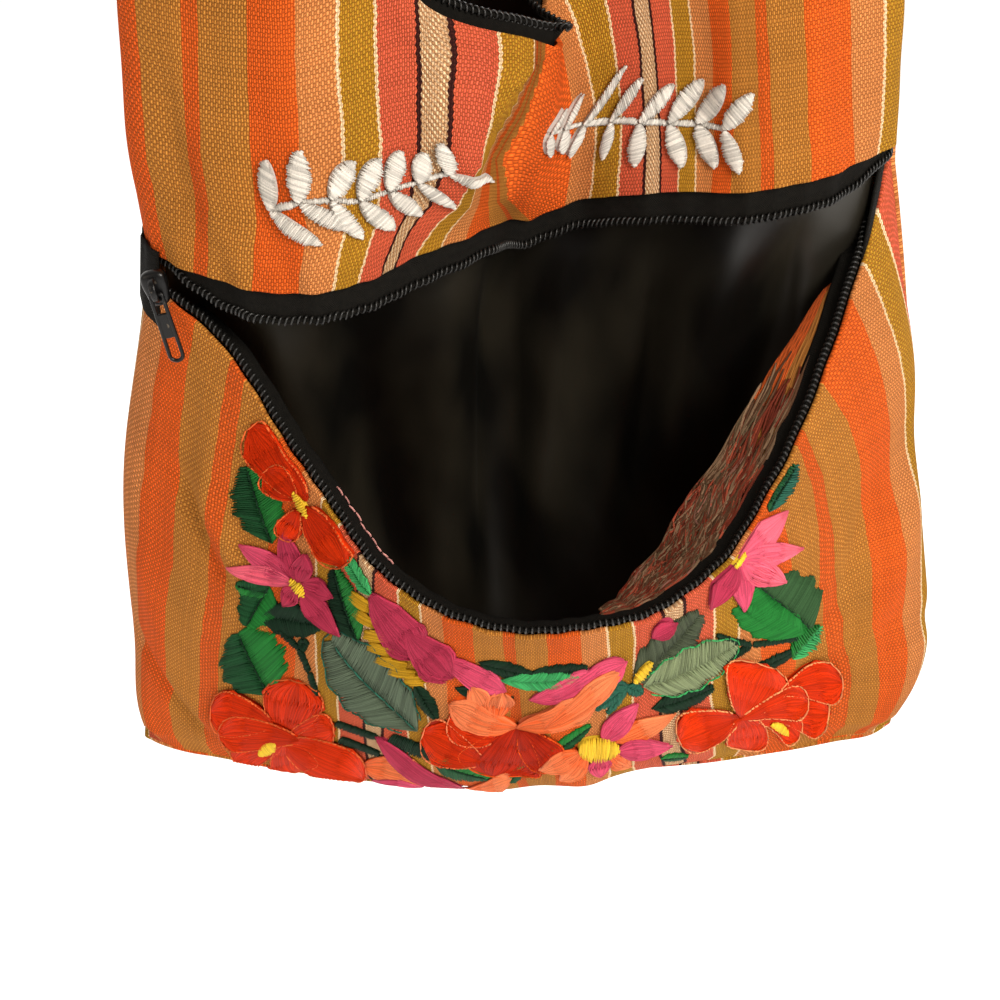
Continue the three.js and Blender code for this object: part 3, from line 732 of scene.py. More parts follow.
# Stripes of the cloth from the middle of one twill band to the middle of the next narrow orange one
stripePlan = table(
    "wide colour",
    (4.7, dye(206, 158, 112)),  # twill
    (13.2, dye(228, 99, 70)),  # coral
    (11.4, dye(190, 138, 40)),  # olive
    (11.5, dye(226, 142, 80)),  # peach
    (14.4, dye(240, 100, 34)),  # orange
    (13.8, dye(200, 132, 56)),  # ochre
    (2.6, dye(226, 96, 34)),  # narrow orange
)
halfRepeat = sum(stripe["wide"] for stripe in stripePlan)
clothLook = {
    "weave": {"Warp Pitch": 0.75, "Weft Pitch": 1.1, "Slub": 1.2}, "weft": dye(128, 62, 18),
    "weftShare": 0.5, "cream": dye(240, 204, 160), "zigzag": dye(58, 26, 22), "lineWide": 0.5,
    "zigzagWide": 0.75, "wander": 2.4, "wanderScale": 0.06, "strokeFrom": 0.1, "toothLong": 1.1,
    "toothDeep": 0.45, "toothShift": -0.25, "patchScale": 0.035, "insideShade": dye(104, 70, 50), "bump": 0.8,
    "bumpDeep": 0.0005,
}


def buildClothMaterial(name, insideShade=0.0):
    material, tree, give = newMaterial(name, Roughness=0.92, Specular_IOR_Level=0.08)
    uv, x, y = layMap(tree)
    weave = useGroup(tree, weaveGroup, {"Map": uv, **clothLook["weave"]})
    warp = put(tree, "ShaderNodeAttribute", attribute_name="warp").outputs["Fac"]
    wander = noise(tree, uv, clothLook["wanderScale"], 3.0)
    wander = scaled(tree, wander, clothLook["wander"], -clothLook["wander"] / 2)
    place = sums(tree, "PINGPONG", sums(tree, "ADD", warp, wander), halfRepeat)
    ramp = put(tree, "ShaderNodeValToRGB", {0: sums(tree, "DIVIDE", place, halfRepeat)})
    ramp.color_ramp.interpolation = "CONSTANT"
    stops = ramp.color_ramp.elements
    edges = [0.0]
    for k, stripe in enumerate(stripePlan):
        at = edges[-1] / halfRepeat
        stop = stops[k] if k < 2 else stops.new(at)
        stop.position = at
        stop.color = (*stripe["colour"], 1)
        edges.append(edges[-1] + stripe["wide"])
    inTwill = sums(tree, "LESS_THAN", place, edges[1])
    stroke = sums(tree, "SINE", times(tree, sums(tree, "ADD", x, y), math.pi))
    twillMark = times(tree, inTwill, sums(tree, "GREATER_THAN", stroke, clothLook["strokeFrom"]))
    colour = blendColour(tree, twillMark, ramp.outputs[0], clothLook["cream"])
    weftShare = times(tree, weave["Weft On Top"], clothLook["weftShare"])
    colour = blendColour(tree, weftShare, colour, clothLook["weft"])
    teeth = sums(tree, "PINGPONG", y, clothLook["toothLong"])
    ripple = sums(tree, "ADD", place, scaled(tree, teeth, clothLook["toothDeep"], clothLook["toothShift"]))
    for k, wide, ink in ((2, "lineWide", "cream"), (3, "lineWide", "cream"), (1, "zigzagWide", "zigzag")):
        mask = sums(tree, "COMPARE", ripple, edges[k], clothLook[wide])
        colour = blendColour(tree, mask, colour, clothLook[ink])
    patch = noise(tree, uv, clothLook["patchScale"], 4.0)
    # Colour darkened where the weave is low: painted shade in the hollows between threads, times the random tone of
    # each thread and slow random patches.
    light = scaled(tree, weave["Height"], 0.62, 0.52)
    for part, by, plus in ((weave["Thread Tone"], 0.22, 0.89), (patch, 0.3, 0.85)):
        light = times(tree, light, scaled(tree, part, by, plus))
    colour = shaded(tree, colour, light)
    # Mixed toward a dark brown: painted shade of the inside of the pocket's lip.
    if insideShade:
        colour = blendColour(tree, insideShade, colour, clothLook["insideShade"])
    give(Base_Color=colour, Normal=bumped(tree, weave["Height"], clothLook["bump"], clothLook["bumpDeep"]))
    return material


liningLook = {
    "weave": {"Warp Pitch": 0.35, "Weft Pitch": 0.35, "Slub": 0.3}, "drawnOut": 0.45,
    "crumpleScale": 0.035, "dark": dye(11, 10, 8), "wearAndSheen": dye(33, 29, 21), "sheenPatchFrom": (0.4, 0.62),
    "roughness": (0.3, 0.7, 0.3, 0.48), "softBump": (0.3, 0.006), "fineBump": (0.15, 0.0001),
}


# Black lining: fine satin weave with soft crumples, the paler patches of colour on the crumples a painted sheen.
def buildLiningMaterial():
    material, tree, give = newMaterial("black satin lining", Specular_IOR_Level=0.5)
    uv, x, y = layMap(tree)
    weave = useGroup(tree, weaveGroup, {"Map": uv, **liningLook["weave"]})
    drawn = put(tree, "ShaderNodeCombineXYZ", {0: x, 1: times(tree, y, liningLook["drawnOut"])}).outputs[0]
    crumple = noise(tree, drawn, liningLook["crumpleScale"], 2.0, Roughness=0.4)
    # Paler colour on the crumples: painted sheen of the satin.
    wearAndSheen = ranged(tree, crumple, *liningLook["sheenPatchFrom"])
    soft = bumped(tree, crumple, *liningLook["softBump"])
    give(Base_Color=blendColour(tree, wearAndSheen, liningLook["dark"], liningLook["wearAndSheen"]),
         Roughness=ranged(tree, crumple, *liningLook["roughness"]),
         Normal=bumped(tree, weave["Height"], *liningLook["fineBump"], Normal=soft))
    return material


tapeLook = {
    "rib": 0.7, "slantEvery": 1.6, "dark": dye(5, 5, 4), "lint": dye(25, 22, 18), "bump": (0.5, 0.0002),
}


# Zip tape: black twill, a herringbone of slanted ribs.
def buildTapeMaterial():
    material, tree, give = newMaterial("black zip tape", Roughness=0.85, Specular_IOR_Level=0.1)
    uv, x, y = layMap(tree)
    slant = sums(tree, "ADD", x, sums(tree, "PINGPONG", y, tapeLook["slantEvery"]))
    rib = sums(tree, "SINE", times(tree, slant, 2 * math.pi / tapeLook["rib"]))
    lint = noise(tree, uv, 0.5, 6.0)
    give(Base_Color=blendColour(tree, lint, tapeLook["dark"], tapeLook["lint"]),
         Normal=bumped(tree, sums(tree, "ADD", rib, lint), *tapeLook["bump"]))
    return material


coilLook = {"rubScale": 220.0, "dark": dye(8, 8, 8), "rubbed": dye(30, 28, 25), "roughness": (0.25, 0.5)}


# Zip coil: black nylon, scuffed a little paler where the teeth rub.
def buildCoilMaterial():
    material, tree, give = newMaterial("black zip coil", Specular_IOR_Level=0.5)
    place = put(tree, "ShaderNodeTexCoord").outputs["Object"]
    rub = noise(tree, place, coilLook["rubScale"], 4.0)
    give(Base_Color=blendColour(tree, rub, coilLook["dark"], coilLook["rubbed"]),
         Roughness=ranged(tree, rub, 0.0, 1.0, *coilLook["roughness"]))
    return material


enamelLook = {
    "paint": dye(10, 9, 9), "metal": dye(110, 100, 88), "chipScale": 420.0, "chipFrom": (0.66, 0.72),
    "metallic": 0.9, "roughness": (0.2, 0.42), "peelScale": 1500.0, "bump": (0.12, 0.0002),
}


# Enamel of the slider and pull: black paint with fine orange peel and chips of bare metal.
def buildEnamelMaterial():
    material, tree, give = newMaterial("black enamel", Specular_IOR_Level=0.3, Coat_Roughness=0.15)
    place = put(tree, "ShaderNodeTexCoord").outputs["Object"]
    chips = noise(tree, place, enamelLook["chipScale"], 6.0)
    wearAndSheen = ranged(tree, chips, *enamelLook["chipFrom"])
    peel = noise(tree, place, enamelLook["peelScale"], 2.0)
    give(Base_Color=blendColour(tree, wearAndSheen, enamelLook["paint"], enamelLook["metal"]),
         Metallic=times(tree, wearAndSheen, enamelLook["metallic"]),
         Roughness=ranged(tree, chips, 0.0, 1.0, *enamelLook["roughness"]),
         Normal=bumped(tree, peel, *enamelLook["bump"]))
    return material


flossLook = {
    "roughness": 0.65, "fuzzScale": 1.6, "fuzz": 0.4, "least": 0.66, "twist": (9.0, 12.0),
    "bump": (0.35, 0.0001),
}


# Embroidery floss: dyed strands with a twist and a slight unevenness of dye.
def buildFlossMaterial():
    material, tree, give = newMaterial("embroidery floss", Specular_IOR_Level=0.05)
    uv, x, y = layMap(tree)
    colour = put(tree, "ShaderNodeAttribute", attribute_name="thread").outputs["Color"]
    fuzz = noise(tree, uv, flossLook["fuzzScale"], 3.0)
    alongTurn, acrossTurn = flossLook["twist"]
    twist = sums(tree, "SINE", scaled(tree, x, alongTurn, times(tree, y, acrossTurn)))
    give(Roughness=flossLook["roughness"],
         Base_Color=shaded(tree, colour, scaled(tree, fuzz, flossLook["fuzz"], flossLook["least"])),
         Normal=bumped(tree, sums(tree, "ADD", twist, fuzz), *flossLook["bump"]))
    return material


# Material and slot of each kind of stuff
enamelMaterial = buildEnamelMaterial()
cloth = (buildClothMaterial("striped cotton"), "striped_cloth")
# The turned-in reverse of the cloth takes a share of painted shade.
clothReverse = (buildClothMaterial("reverse of the cloth", insideShade=0.3), "striped_cloth")
lining = (buildLiningMaterial(), "black_lining")
tape = (buildTapeMaterial(), "zip_tape")
coil = (buildCoilMaterial(), "zip_coil")
enamel = (enamelMaterial, "black_enamel")
stitching = (buildFlossMaterial(), "striped_cloth")
print("materials built")

# Where each stripe edge lies: the warp place in millimetres from the first twill band, and the panel column
# under it at some heights of the upper panel, and then of the pocket.
stripeLines = table(
    "warp hem middle top",
    (-120.0, -0.05, -0.05, -0.05),
    (-88.0, 0.090, 0.098, 0.090),
    (-71.6, 0.133, 0.174, 0.179),
    (-55.2, 0.210, 0.254, 0.261),
    (-40.8, 0.268, 0.311, 0.320),
    (-29.3, 0.305, 0.354, 0.355),
    (-17.9, 0.335, 0.384, 0.384),
    (-4.7, 0.361, 0.411, 0.419),
    (4.7, 0.375, 0.431, 0.439),
    (17.9, 0.399, 0.452, 0.460),
    (29.3, 0.425, 0.455, 0.483),
    (55.2, 0.474, 0.458, 0.486),
    (88.0, 0.530, 0.465, 0.492),
    (102.4, 0.578, 0.578, 0.578),
    (125.3, 0.635, 0.635, 0.635),
    (143.2, 0.667, 0.667, 0.667),
    (184.0, 0.720, 0.725, 0.725),
    (198.4, 0.738, 0.745, 0.745),
    (214.8, 0.776, 0.776, 0.776),
    (231.2, 0.826, 0.822, 0.822),
    (245.6, 0.889, 0.880, 0.875),
    (257.1, 0.922, 0.922, 0.922),
    (281.0, 1.0, 1.0, 1.0),
)
pocketStripeLines = table(
    "warp low bend middle top",
    (-134.0, -0.05, -0.03, -0.02, -0.03),
    (-102.4, 0.050, 0.084, 0.106, 0.088),
    (-88.0, 0.098, 0.134, 0.146, 0.116),
    (-74.2, 0.153, 0.180, 0.190, 0.163),
    (-69.0, 0.180, 0.203, 0.211, 0.186),
    (-55.2, 0.240, 0.256, 0.262, 0.240),
    (212.2, 0.885, 0.852, 0.839, 0.862),
    (217.4, 0.904, 0.868, 0.856, 0.870),
    (231.2, 0.934, 0.892, 0.893, 0.895),
    (245.6, 0.950, 0.926, 0.924, 0.930),
    (257.1, 0.965, 0.946, 0.943, 0.943),
    (268.5, 0.985, 0.972, 0.968, 0.965),
    (281.0, 1.030, 1.010, 1.000, 1.000),
)
stripeBend = 0.75  # the lines bend soon above the hem
for row in stripeLines:
    row["bend"] = mix(row["hem"], row["middle"], stripeBend)
upperHeights = {"hem": 0, "bend": 0.15, "middle": 0.35, "top": 0.85}
pocketHeights = {"low": 0.05, "bend": 0.32, "middle": 0.6, "top": 1.0}
backStripes = (305.0, 595.0)


# Warp place under a panel: each line's column read off at the height, then straight steps from line to line.
def warpUnder(lines, heights, u, v):
    u, v = spreadOut(u, v)
    columns = [np.interp(v, list(heights.values()), [line[name] for name in heights]) for line in lines]
    warps = [line["warp"] for line in lines]
    total = np.full(u.shape, warps[0])
    for k in range(len(warps) - 1):
        step = np.clip((u - columns[k]) / (columns[k + 1] - columns[k]), 0, 1)
        total = total + (warps[k + 1] - warps[k]) * step
    return total


def upperWarp(u, v):
    return warpUnder(stripeLines, upperHeights, u, v)


def pocketWarp(u, v):
    return warpUnder(pocketStripeLines, pocketHeights, u, v)


def backWarp(u, v):  # the back is cut from the same cloth, its stripes evenly spread
    return mix(*backStripes, u)


def addSheet(name, surface, grid, replaced=(), warpAt=None, *, wall, look, soft=0.0):
    piece = makeSheet(name, surface, *grid, warpAt)
    thicken(piece, wall, soft)
    return finishPiece(piece, look, replaced)


# Cloth panels
clothWall = {"wall": 1.6, "look": cloth, "soft": 0.5}
pocketPiece = addSheet("pocket_cloth", pocketCloth, (230, 120), ["pocket_panel"], pocketWarp, **clothWall)
upperPiece = addSheet("upper_cloth", upperCloth, (260, 110), ["upper_front_panel"], upperWarp, **clothWall)
backPiece = addSheet("back_cloth", backCloth, (140, 110), ["back_panel"], backWarp, **clothWall)
print("cloth panels made")

# Zips: the columns each runs between, how far its tape tucks in and stands out, and where its slider sits
zipRows = table(
    "name surface edge from to tuck reach gap taper hangs endsAt",
    ("pocket_zip_upper", upperCloth, 0.0, 3 / 44, 43 / 44, 1.5, 8.5, 0.6, 0.12, True, None),
    ("pocket_zip_lower", pocketCloth, 1.0, 3 / 40, 0.985, 9.0, 1.5, 0.7, 0.02, False, None),
    ("mouth_zip_front", upperCloth, 1.0, 16 / 44, 32 / 44, 1.0, 5.2, 0.9, 0.001, False, (-38, -19, 384)),
    ("mouth_zip_back", backCloth, 1.0, 9 / 32, 23 / 32, 2.0, 4.0, 0.9, 0.02, False, None),
)
zipPlan = {row["name"]: row for row in zipRows}
zipLead = 0.06  # share of a zip's length over which it is led to its slider
tapePlan = {"thick": 0.8, "grid": (160, 9), "behind": 1.6, "mapLong": 320, "narrowEnd": 0.15}
coilPlan = {
    "pitch": 1.8, "reach": 2.4, "depth": 1.7, "wire": 0.72, "wireSides": 5, "turnSteps": 10,
    "behind": 1.9, "past": 0.5, "coreWide": 1.5, "coreThick": 1.1, "coreSides": 6, "coreEvery": 5,
}


# Place beside a panel's edge: past it along the cloth or straight down, and behind its face.
def besideEdge(plan, share, past, behind):
    u = mix(plan["from"], plan["to"], share)
    v = np.full(u.shape, plan["edge"])
    alongU, _, out = facing(plan["surface"], u, v)
    side = 1 if plan["edge"] > 0.5 else -1
    away = np.zeros_like(out) + [0, 0, -1] if plan["hangs"] else unit(np.cross(out, alongU)) * side
    return plan["surface"](u, v) + away * past[..., None] - out * behind, away, out


def zipReach(plan, share):
    fromEnd = np.minimum(share, 1 - share)
    return plan["reach"] * mix(tapePlan["narrowEnd"], 1, smooth(fromEnd, 0, plan["taper"]))


# Lead into a slider: how far the end of a zip is carried over to where its slider sits.
def leadIn(plan, share, end):
    if plan["endsAt"] is None:
        return 0.0
    return (np.array(plan["endsAt"]) - end) * smooth(share, zipLead, 0)[..., None]


# Tape: from its tuck behind the panel to its reach past the edge, the tucked edge a little wavy.
def makeTape(name, plan):
    share, across = gridShares(*tapePlan["grid"])
    wave = 0.35 * np.sin(share * 90) + 0.3 * np.sin(share * 37 + 1)
    past = mix(-plan["tuck"] + wave, zipReach(plan, share), across if plan["edge"] > 0.5 else 1 - across)
    points = besideEdge(plan, share, past, tapePlan["behind"] + plan["gap"])[0]
    points = points + leadIn(plan, share, points[0, -1]) * across[..., None]
    uv = np.stack([share * tapePlan["mapLong"], past], axis=-1)
    piece = makeObject(name, toFrame(points), gridQuads(*tapePlan["grid"]), uv=uv)
    thicken(piece, tapePlan["thick"])
    return piece


# Coil: a wire wound round the tape's edge, an ellipse carried along the edge as a helix, round a core cord.
def makeCoil(name, plan):
    share = np.linspace(0, 1, 400)
    line, away, out = besideEdge(plan, share, zipReach(plan, share) + coilPlan["past"], coilPlan["behind"])
    line = line + leadIn(plan, share, line[0])
    line, at = spaced(line, coilPlan["pitch"] / coilPlan["turnSteps"])
    away, out = unit(readOff(at, share, away)), unit(readOff(at, share, out))
    turn = np.arange(len(line)) * 2 * np.pi / coilPlan["turnSteps"]
    radial = away * (np.cos(turn) * coilPlan["reach"] / 2)[:, None]
    radial = radial + out * (np.sin(turn) * coilPlan["depth"] / 2)[:, None]
    helix = line + radial
    tangent = unit(np.gradient(helix, axis=0))
    outward = squareTo(radial, tangent)
    size = (coilPlan["wire"], coilPlan["wire"], coilPlan["wireSides"])
    wire = makeTube(name, helix, outward, np.cross(tangent, outward), *size)
    upward = np.cross(unit(np.gradient(line, axis=0)), away)
    thin = slice(None, None, coilPlan["coreEvery"])
    size = (coilPlan["coreWide"], coilPlan["coreThick"], coilPlan["coreSides"])
    return wire, makeTube(name + "_core", line[thin], away[thin], upward[thin], *size)


zipPieces = {}
for zipName, plan in zipPlan.items():
    zipTape = finishPiece(makeTape(zipName + "_tape_cloth", plan), tape, [zipName + "_tape"])
    wire, core = makeCoil(zipName + "_coil_wire", plan)
    zipPieces[zipName] = [zipTape, finishPiece(wire, coil, [zipName + "_coil"]), finishPiece(core, tape)]
print("zips made")

# Linings: the pocket's hangs from its upper tape and leans back, the main one lies on the back cloth
liningPlan = {
    "from": 3 / 44, "to": 41 / 44, "tuck": 2.0, "behind": 3.9, "lift": 10.0, "forward": 1.0,
    "narrow": 0.94, "lean": 34.0, "wall": 0.6, "slack": 2.5, "uneven": 1.2, "wave": 60, "seed": 14,
    "hold": 0.08,
}
backLiningPlan = {
    "from": 3 / 32, "to": 29 / 32, "low": 1 / 14, "high": 0.985, "inside": (4.2, 2.0), "uneven": 1.2,
    "wide": 240, "tall": 300, "wave": 60, "seed": 21,
}


def liningAt(u, v):
    u, v = spreadOut(u, v)
    span = {"from": liningPlan["from"], "to": liningPlan["to"]}
    hang = {**zipPlan["pocket_zip_upper"], "surface": upperAt, **span}
    high = besideEdge(hang, u, np.full(u.shape, -liningPlan["tuck"]), liningPlan["behind"])[0]
    low = pocketAt(mix(liningPlan["from"], liningPlan["to"], u), 0.0)
    low = low * [liningPlan["narrow"], 1, 1] + [0, -liningPlan["forward"], liningPlan["lift"]]
    middle = (high + low) / 2
    middle[..., 1] += liningPlan["lean"] * np.sin(np.pi * u)
    return arcThrough(low, middle, high, v)


liningFolds = table(
    "start end wide deep",
    ((52, 205), (88, 60), 13, 7.0),
    ((92, 205), (108, 40), 11, -6.0),
    ((128, 208), (126, 40), 13, 7.5),
    ((156, 195), (150, 50), 9, -6.0),
    ((182, 208), (170, 60), 12, 6.5),
    ((212, 205), (194, 70), 10, -6.0),
    ((244, 208), (216, 80), 13, 6.5),
    ((270, 205), (244, 90), 9, -5.0),
)
liningFlat = {"wide": 300.0, "tall": 215.0}


def liningCloth(u, v):
    u, v = spreadOut(u, v)
    a, b = u * liningFlat["wide"], v * liningFlat["tall"]
    hold = smooth(v, 0, 0.1) * smooth(v, 1, 0.86) * holdSides(u, liningPlan["hold"])
    uneven = liningPlan["uneven"] * unevenness(a, b * 0.5, liningPlan["wave"], liningPlan["seed"])
    return raised(liningAt, u, v, (creases(liningFolds, a, b) + uneven - liningPlan["slack"]) * hold)


def backLiningCloth(u, v):
    u, v = spreadOut(u, v)
    plan = backLiningPlan
    across, up = mix(plan["from"], plan["to"], u), mix(plan["low"], plan["high"], v)
    uneven = plan["uneven"] * unevenness(u * plan["wide"], v * plan["tall"], plan["wave"], plan["seed"])
    inside = mix(*plan["inside"], smooth(v, 0.55, 0.85)) - uneven * smooth(v, 0.8, 0.5)
    return raised(backCloth, across, up, -inside)


satin = {"wall": liningPlan["wall"], "look": lining}
liningPiece = addSheet("pocket_lining_cloth", liningCloth, (170, 120), ["pocket_lining"], **satin)
backLiningPiece = addSheet("back_lining_cloth", backLiningCloth, (80, 90), ["back_lining"], **satin)
print("linings made")

# Strap: a flat band from horn to horn over the hanging point, turning edge on as it rises
strapPlan = {"wide": 53.0, "thick": 3.2, "turnStart": 0.10, "turnEnd": 0.42, "tuck": 16.0, "tuckSteps": 6,
             "steps": 240, "sides": 28, "square": 0.55, "warpHalf": 30}
strapPoints = np.array([
    (-75, -8.5, 400.7), (-74.5, -8, 425), (-67, -5, 490), (-52, -2, 580), (-38, 0, 650), (-22, 0, 689),
    (0, 0, 700 + strapPlan["thick"] / 2),
    (22, 0, 689), (38, 0, 650), (50, -2, 580), (64, -5, 490), (70, -8, 425), (70.5, -8.5, 400.7),
])


# Curve through points: each stretch a cubic whose slopes are half the step between the neighbours.
def curveThrough(points, steps):
    ends = np.concatenate([[2 * points[0] - points[1]], points, [2 * points[-1] - points[-2]]])
    at = np.linspace(0, len(points) - 1, steps)
    i = np.minimum(at.astype(int), len(points) - 2)
    t = (at - i)[:, None]
    p0, p1, p2, p3 = (ends[i + k] for k in range(4))
    bend = (2 * p0 - 5 * p1 + 4 * p2 - p3) * t**2 + (3 * p1 - p0 - 3 * p2 + p3) * t**3
    return 0.5 * (2 * p1 + (p2 - p0) * t + bend)


# Band: the curve with its ends run on straight into the horns, turned by a quarter on the way up.
def makeStrap():
    line = curveThrough(strapPoints, strapPlan["steps"])
    share = np.linspace(0, 1, strapPlan["steps"])
    fromEnd = np.minimum(share, 1 - share)
    turn = np.pi / 2 * smooth(fromEnd, strapPlan["turnStart"], strapPlan["turnEnd"])
    side = np.where(share < 0.5, 1, -1)
    tangent = unit(np.gradient(line, axis=0))
    across = squareTo(np.stack([side * np.cos(turn), np.sin(turn), 0 * turn], axis=-1), tangent)
    more = strapPlan["tuckSteps"]
    tucked = np.linspace(strapPlan["tuck"], 2, more)[:, None]
    line = np.concatenate([line[:1] - tangent[:1] * tucked, line, line[-1:] + tangent[-1:] * tucked[::-1]])
    faceWay = np.cross(tangent, across)
    across, faceWay = (np.pad(way, [(more, more), (0, 0)], mode="edge") for way in (across, faceWay))
    warp = next(ringOf(strapPlan["sides"], 1.0)) * strapPlan["warpHalf"]
    size = (strapPlan["wide"], strapPlan["thick"], strapPlan["sides"])
    return makeTube("strap_cloth", line, across, faceWay, *size, square=strapPlan["square"], warp=warp)


strapPiece = finishPiece(makeStrap(), cloth, ["strap"])
print("strap made")

# Zip slider and its pull, in the slider's own leaning frame
sliderPlan = {
    "centre": (-106, -69.9, 202), "lean": -13.0, "length": 11.0, "wide": 7.6, "deep": 4.2,
    "narrow": 0.78, "sides": 20, "square": 0.6, "bridgeRise": 3.8, "bridgeSink": 0.6, "bridgeWide": 2.0,
    "bridgeThick": 1.1, "bridgeSides": 10, "footLow": -3.2, "footHigh": 4.0,
}
pullPlan = {
    "pivot": (0, -3.35, -1.0), "length": 21.5, "topWide": 4.6, "endWide": 5.0, "thick": 1.2, "rim": 1.2,
    "sides": 10, "plateTop": 5.8, "plateEnd": 13.4, "plateInset": 0.6, "plateThick": 0.8,
    "plateSides": 16, "plateSquare": 0.4, "topShare": 0.4,
}


def leaned(points):  # lean about Y
    c, s = math.cos(math.radians(sliderPlan["lean"])), math.sin(math.radians(sliderPlan["lean"]))
    return np.asarray(points) @ np.array([[c, 0, -s], [0, 1, 0], [s, 0, c]])


def fromSlider(points):  # lean, then move to the slider's place
    return leaned(points) + sliderPlan["centre"]


def upright(z):  # points straight up the slider's middle
    return np.stack([0 * z, 0 * z, z], axis=-1)


# Superellipses carried straight down the slider's frame.
def makeBar(name, path, wide, deep, sides, square):
    ones = np.ones((len(path), 1))
    sideways, depthways = ones * leaned([[1.0, 0, 0]]), ones * np.array([0, 1, 0])
    return makeTube(name, fromSlider(path), sideways, depthways, wide, deep, sides, square=square)


# Slider body, wider at the top where the two rows part, and the arched bridge that holds the pull.
def makeSlider():
    t = np.linspace(-1, 1, 33)
    rounded = np.maximum(1 - np.abs(t) ** 6, 0.02) ** 0.5
    wide = sliderPlan["wide"] * mix(sliderPlan["narrow"], 1, smooth(t, -0.8, 0.5)) * rounded
    deep = sliderPlan["deep"] * rounded
    path = upright(t * sliderPlan["length"] / 2)
    body = makeBar("zip_slider", path, wide, deep, sliderPlan["sides"], sliderPlan["square"])
    s = np.linspace(0, np.pi, 24)
    low, high, thick = sliderPlan["footLow"], sliderPlan["footHigh"], sliderPlan["bridgeThick"]
    rise = -sliderPlan["deep"] / 2 + sliderPlan["bridgeSink"] - sliderPlan["bridgeRise"] * np.sin(s) ** 0.6
    arch = np.stack([0 * s, rise, mix(low, high, 0.5) + (high - low - thick) / 2 * np.cos(s)], axis=-1)
    sideways = np.zeros_like(arch) + [1, 0, 0]
    normal = np.cross(unit(np.gradient(arch, axis=0)), sideways)
    ways = (leaned(sideways), leaned(normal))
    size = (sliderPlan["bridgeWide"], thick, sliderPlan["bridgeSides"])
    return body, makeTube("zip_slider_bridge", fromSlider(arch), *ways, *size, square=sliderPlan["square"])


sliderBody, sliderBridge = makeSlider()
finishPiece(sliderBody, enamel, ["pocket_zip_slider"])
finishPiece(sliderBridge, enamel)


# Pull: a closed rounded frame with an eye and a slot, and a thinner plate between them.
def makePull():
    low = -pullPlan["length"] + pullPlan["endWide"] / 2
    half, topHalf = ((pullPlan[width] - pullPlan["rim"]) / 2 for width in ("endWide", "topWide"))
    left = np.stack([np.linspace(-topHalf, -half, 20), np.linspace(0, low, 20)], axis=-1)
    bend = np.linspace(np.pi, 2 * np.pi, 20)
    arc = np.stack([half * np.cos(bend), low + half * np.sin(bend)], axis=-1)
    topEdge = [[topHalf * pullPlan["topShare"], 0], [-topHalf * pullPlan["topShare"], 0]]
    loop = np.concatenate([left[:-1], arc, (left * [-1, 1])[::-1][1:], topEdge])
    path = np.stack([loop[:, 0], 0 * loop[:, 0], loop[:, 1]], axis=-1)
    tangent = unit(np.roll(path, -1, 0) - np.roll(path, 1, 0))
    face = np.zeros_like(path) + [0, 1, 0]
    ringX, ringY = ringOf(pullPlan["sides"], 1.0)
    offset = ringX[None, :, None] * np.cross(tangent, face)[:, None] * pullPlan["rim"] / 2
    offset = offset + ringY[None, :, None] * face[:, None] * pullPlan["thick"] / 2
    ring = (path[:, None] + offset).reshape(-1, 3)
    quads = gridQuads(len(loop), pullPlan["sides"], roundColumns=True, roundRows=True)
    outward = np.roll(quads[:, ::-1], 1, axis=1)
    pivot = np.array(pullPlan["pivot"])
    frameRing = makeObject("zip_pull_frame", toFrame(fromSlider(ring + pivot)), outward)
    t = np.linspace(-1, 1, 21)
    plate = upright(mix(-pullPlan["plateTop"], -pullPlan["plateEnd"], (t + 1) / 2)) + pivot
    plateWide = pullPlan["topWide"] - pullPlan["plateInset"]
    plateForm = (pullPlan["plateThick"], pullPlan["plateSides"], pullPlan["plateSquare"])
    return frameRing, makeBar("zip_pull_plate", plate, plateWide, *plateForm)


pullFrame, pullPlate = makePull()
finishPiece(pullFrame, enamel, ["pocket_zip_pull"], "zip_pull")
finishPiece(pullPlate, enamel, (), "zip_pull")
mouthSlider = frame["nodes"]["mouth_zip_slider"]
mouthSlider.data.materials.clear()
mouthSlider.data.materials.append(enamelMaterial)
rounding = mouthSlider.modifiers.new("rounded edges", "BEVEL")
rounding.width = 0.0014
rounding.segments = 4
print("slider and pull made")

# Seam welts: a soft roll of cloth along each side and the bottom, where the panels are sewn together
weltPlan = {"wide": 2.8, "thick": 2.4, "sides": 8, "step": 2.0, "back": 0.9, "low": 0.01, "top": 0.93,
            "leftWarp": (-95, -124), "rightWarp": (238, 264)}


def makeWelt(name, path, warp):
    path, share = spaced(path + [0, weltPlan["back"], 0], weltPlan["step"])
    along = unit(np.gradient(path, axis=0))
    outward = unit(np.cross(along, np.zeros_like(along) + [0, 1, 0]))
    warp = np.interp(share, np.linspace(0, 1, len(warp)), warp)[:, None] + np.zeros(weltPlan["sides"])
    size = (weltPlan["wide"], weltPlan["thick"], weltPlan["sides"])
    return finishPiece(makeTube(name, path, outward, np.cross(along, outward), *size, warp=warp), cloth)


seamShare = np.linspace(weltPlan["low"], weltPlan["top"], 120)
footShare = np.linspace(0, 1, 160)
weltPieces = [
    makeWelt("left_seam", sideSeam(0.0, seamShare), np.linspace(*weltPlan["leftWarp"], 120)),
    makeWelt("right_seam", sideSeam(1.0, seamShare), np.linspace(*weltPlan["rightWarp"], 120)),
    makeWelt("bottom_seam", pocketAt(footShare, 0.0), pocketWarp(footShare, 0.0)),
]


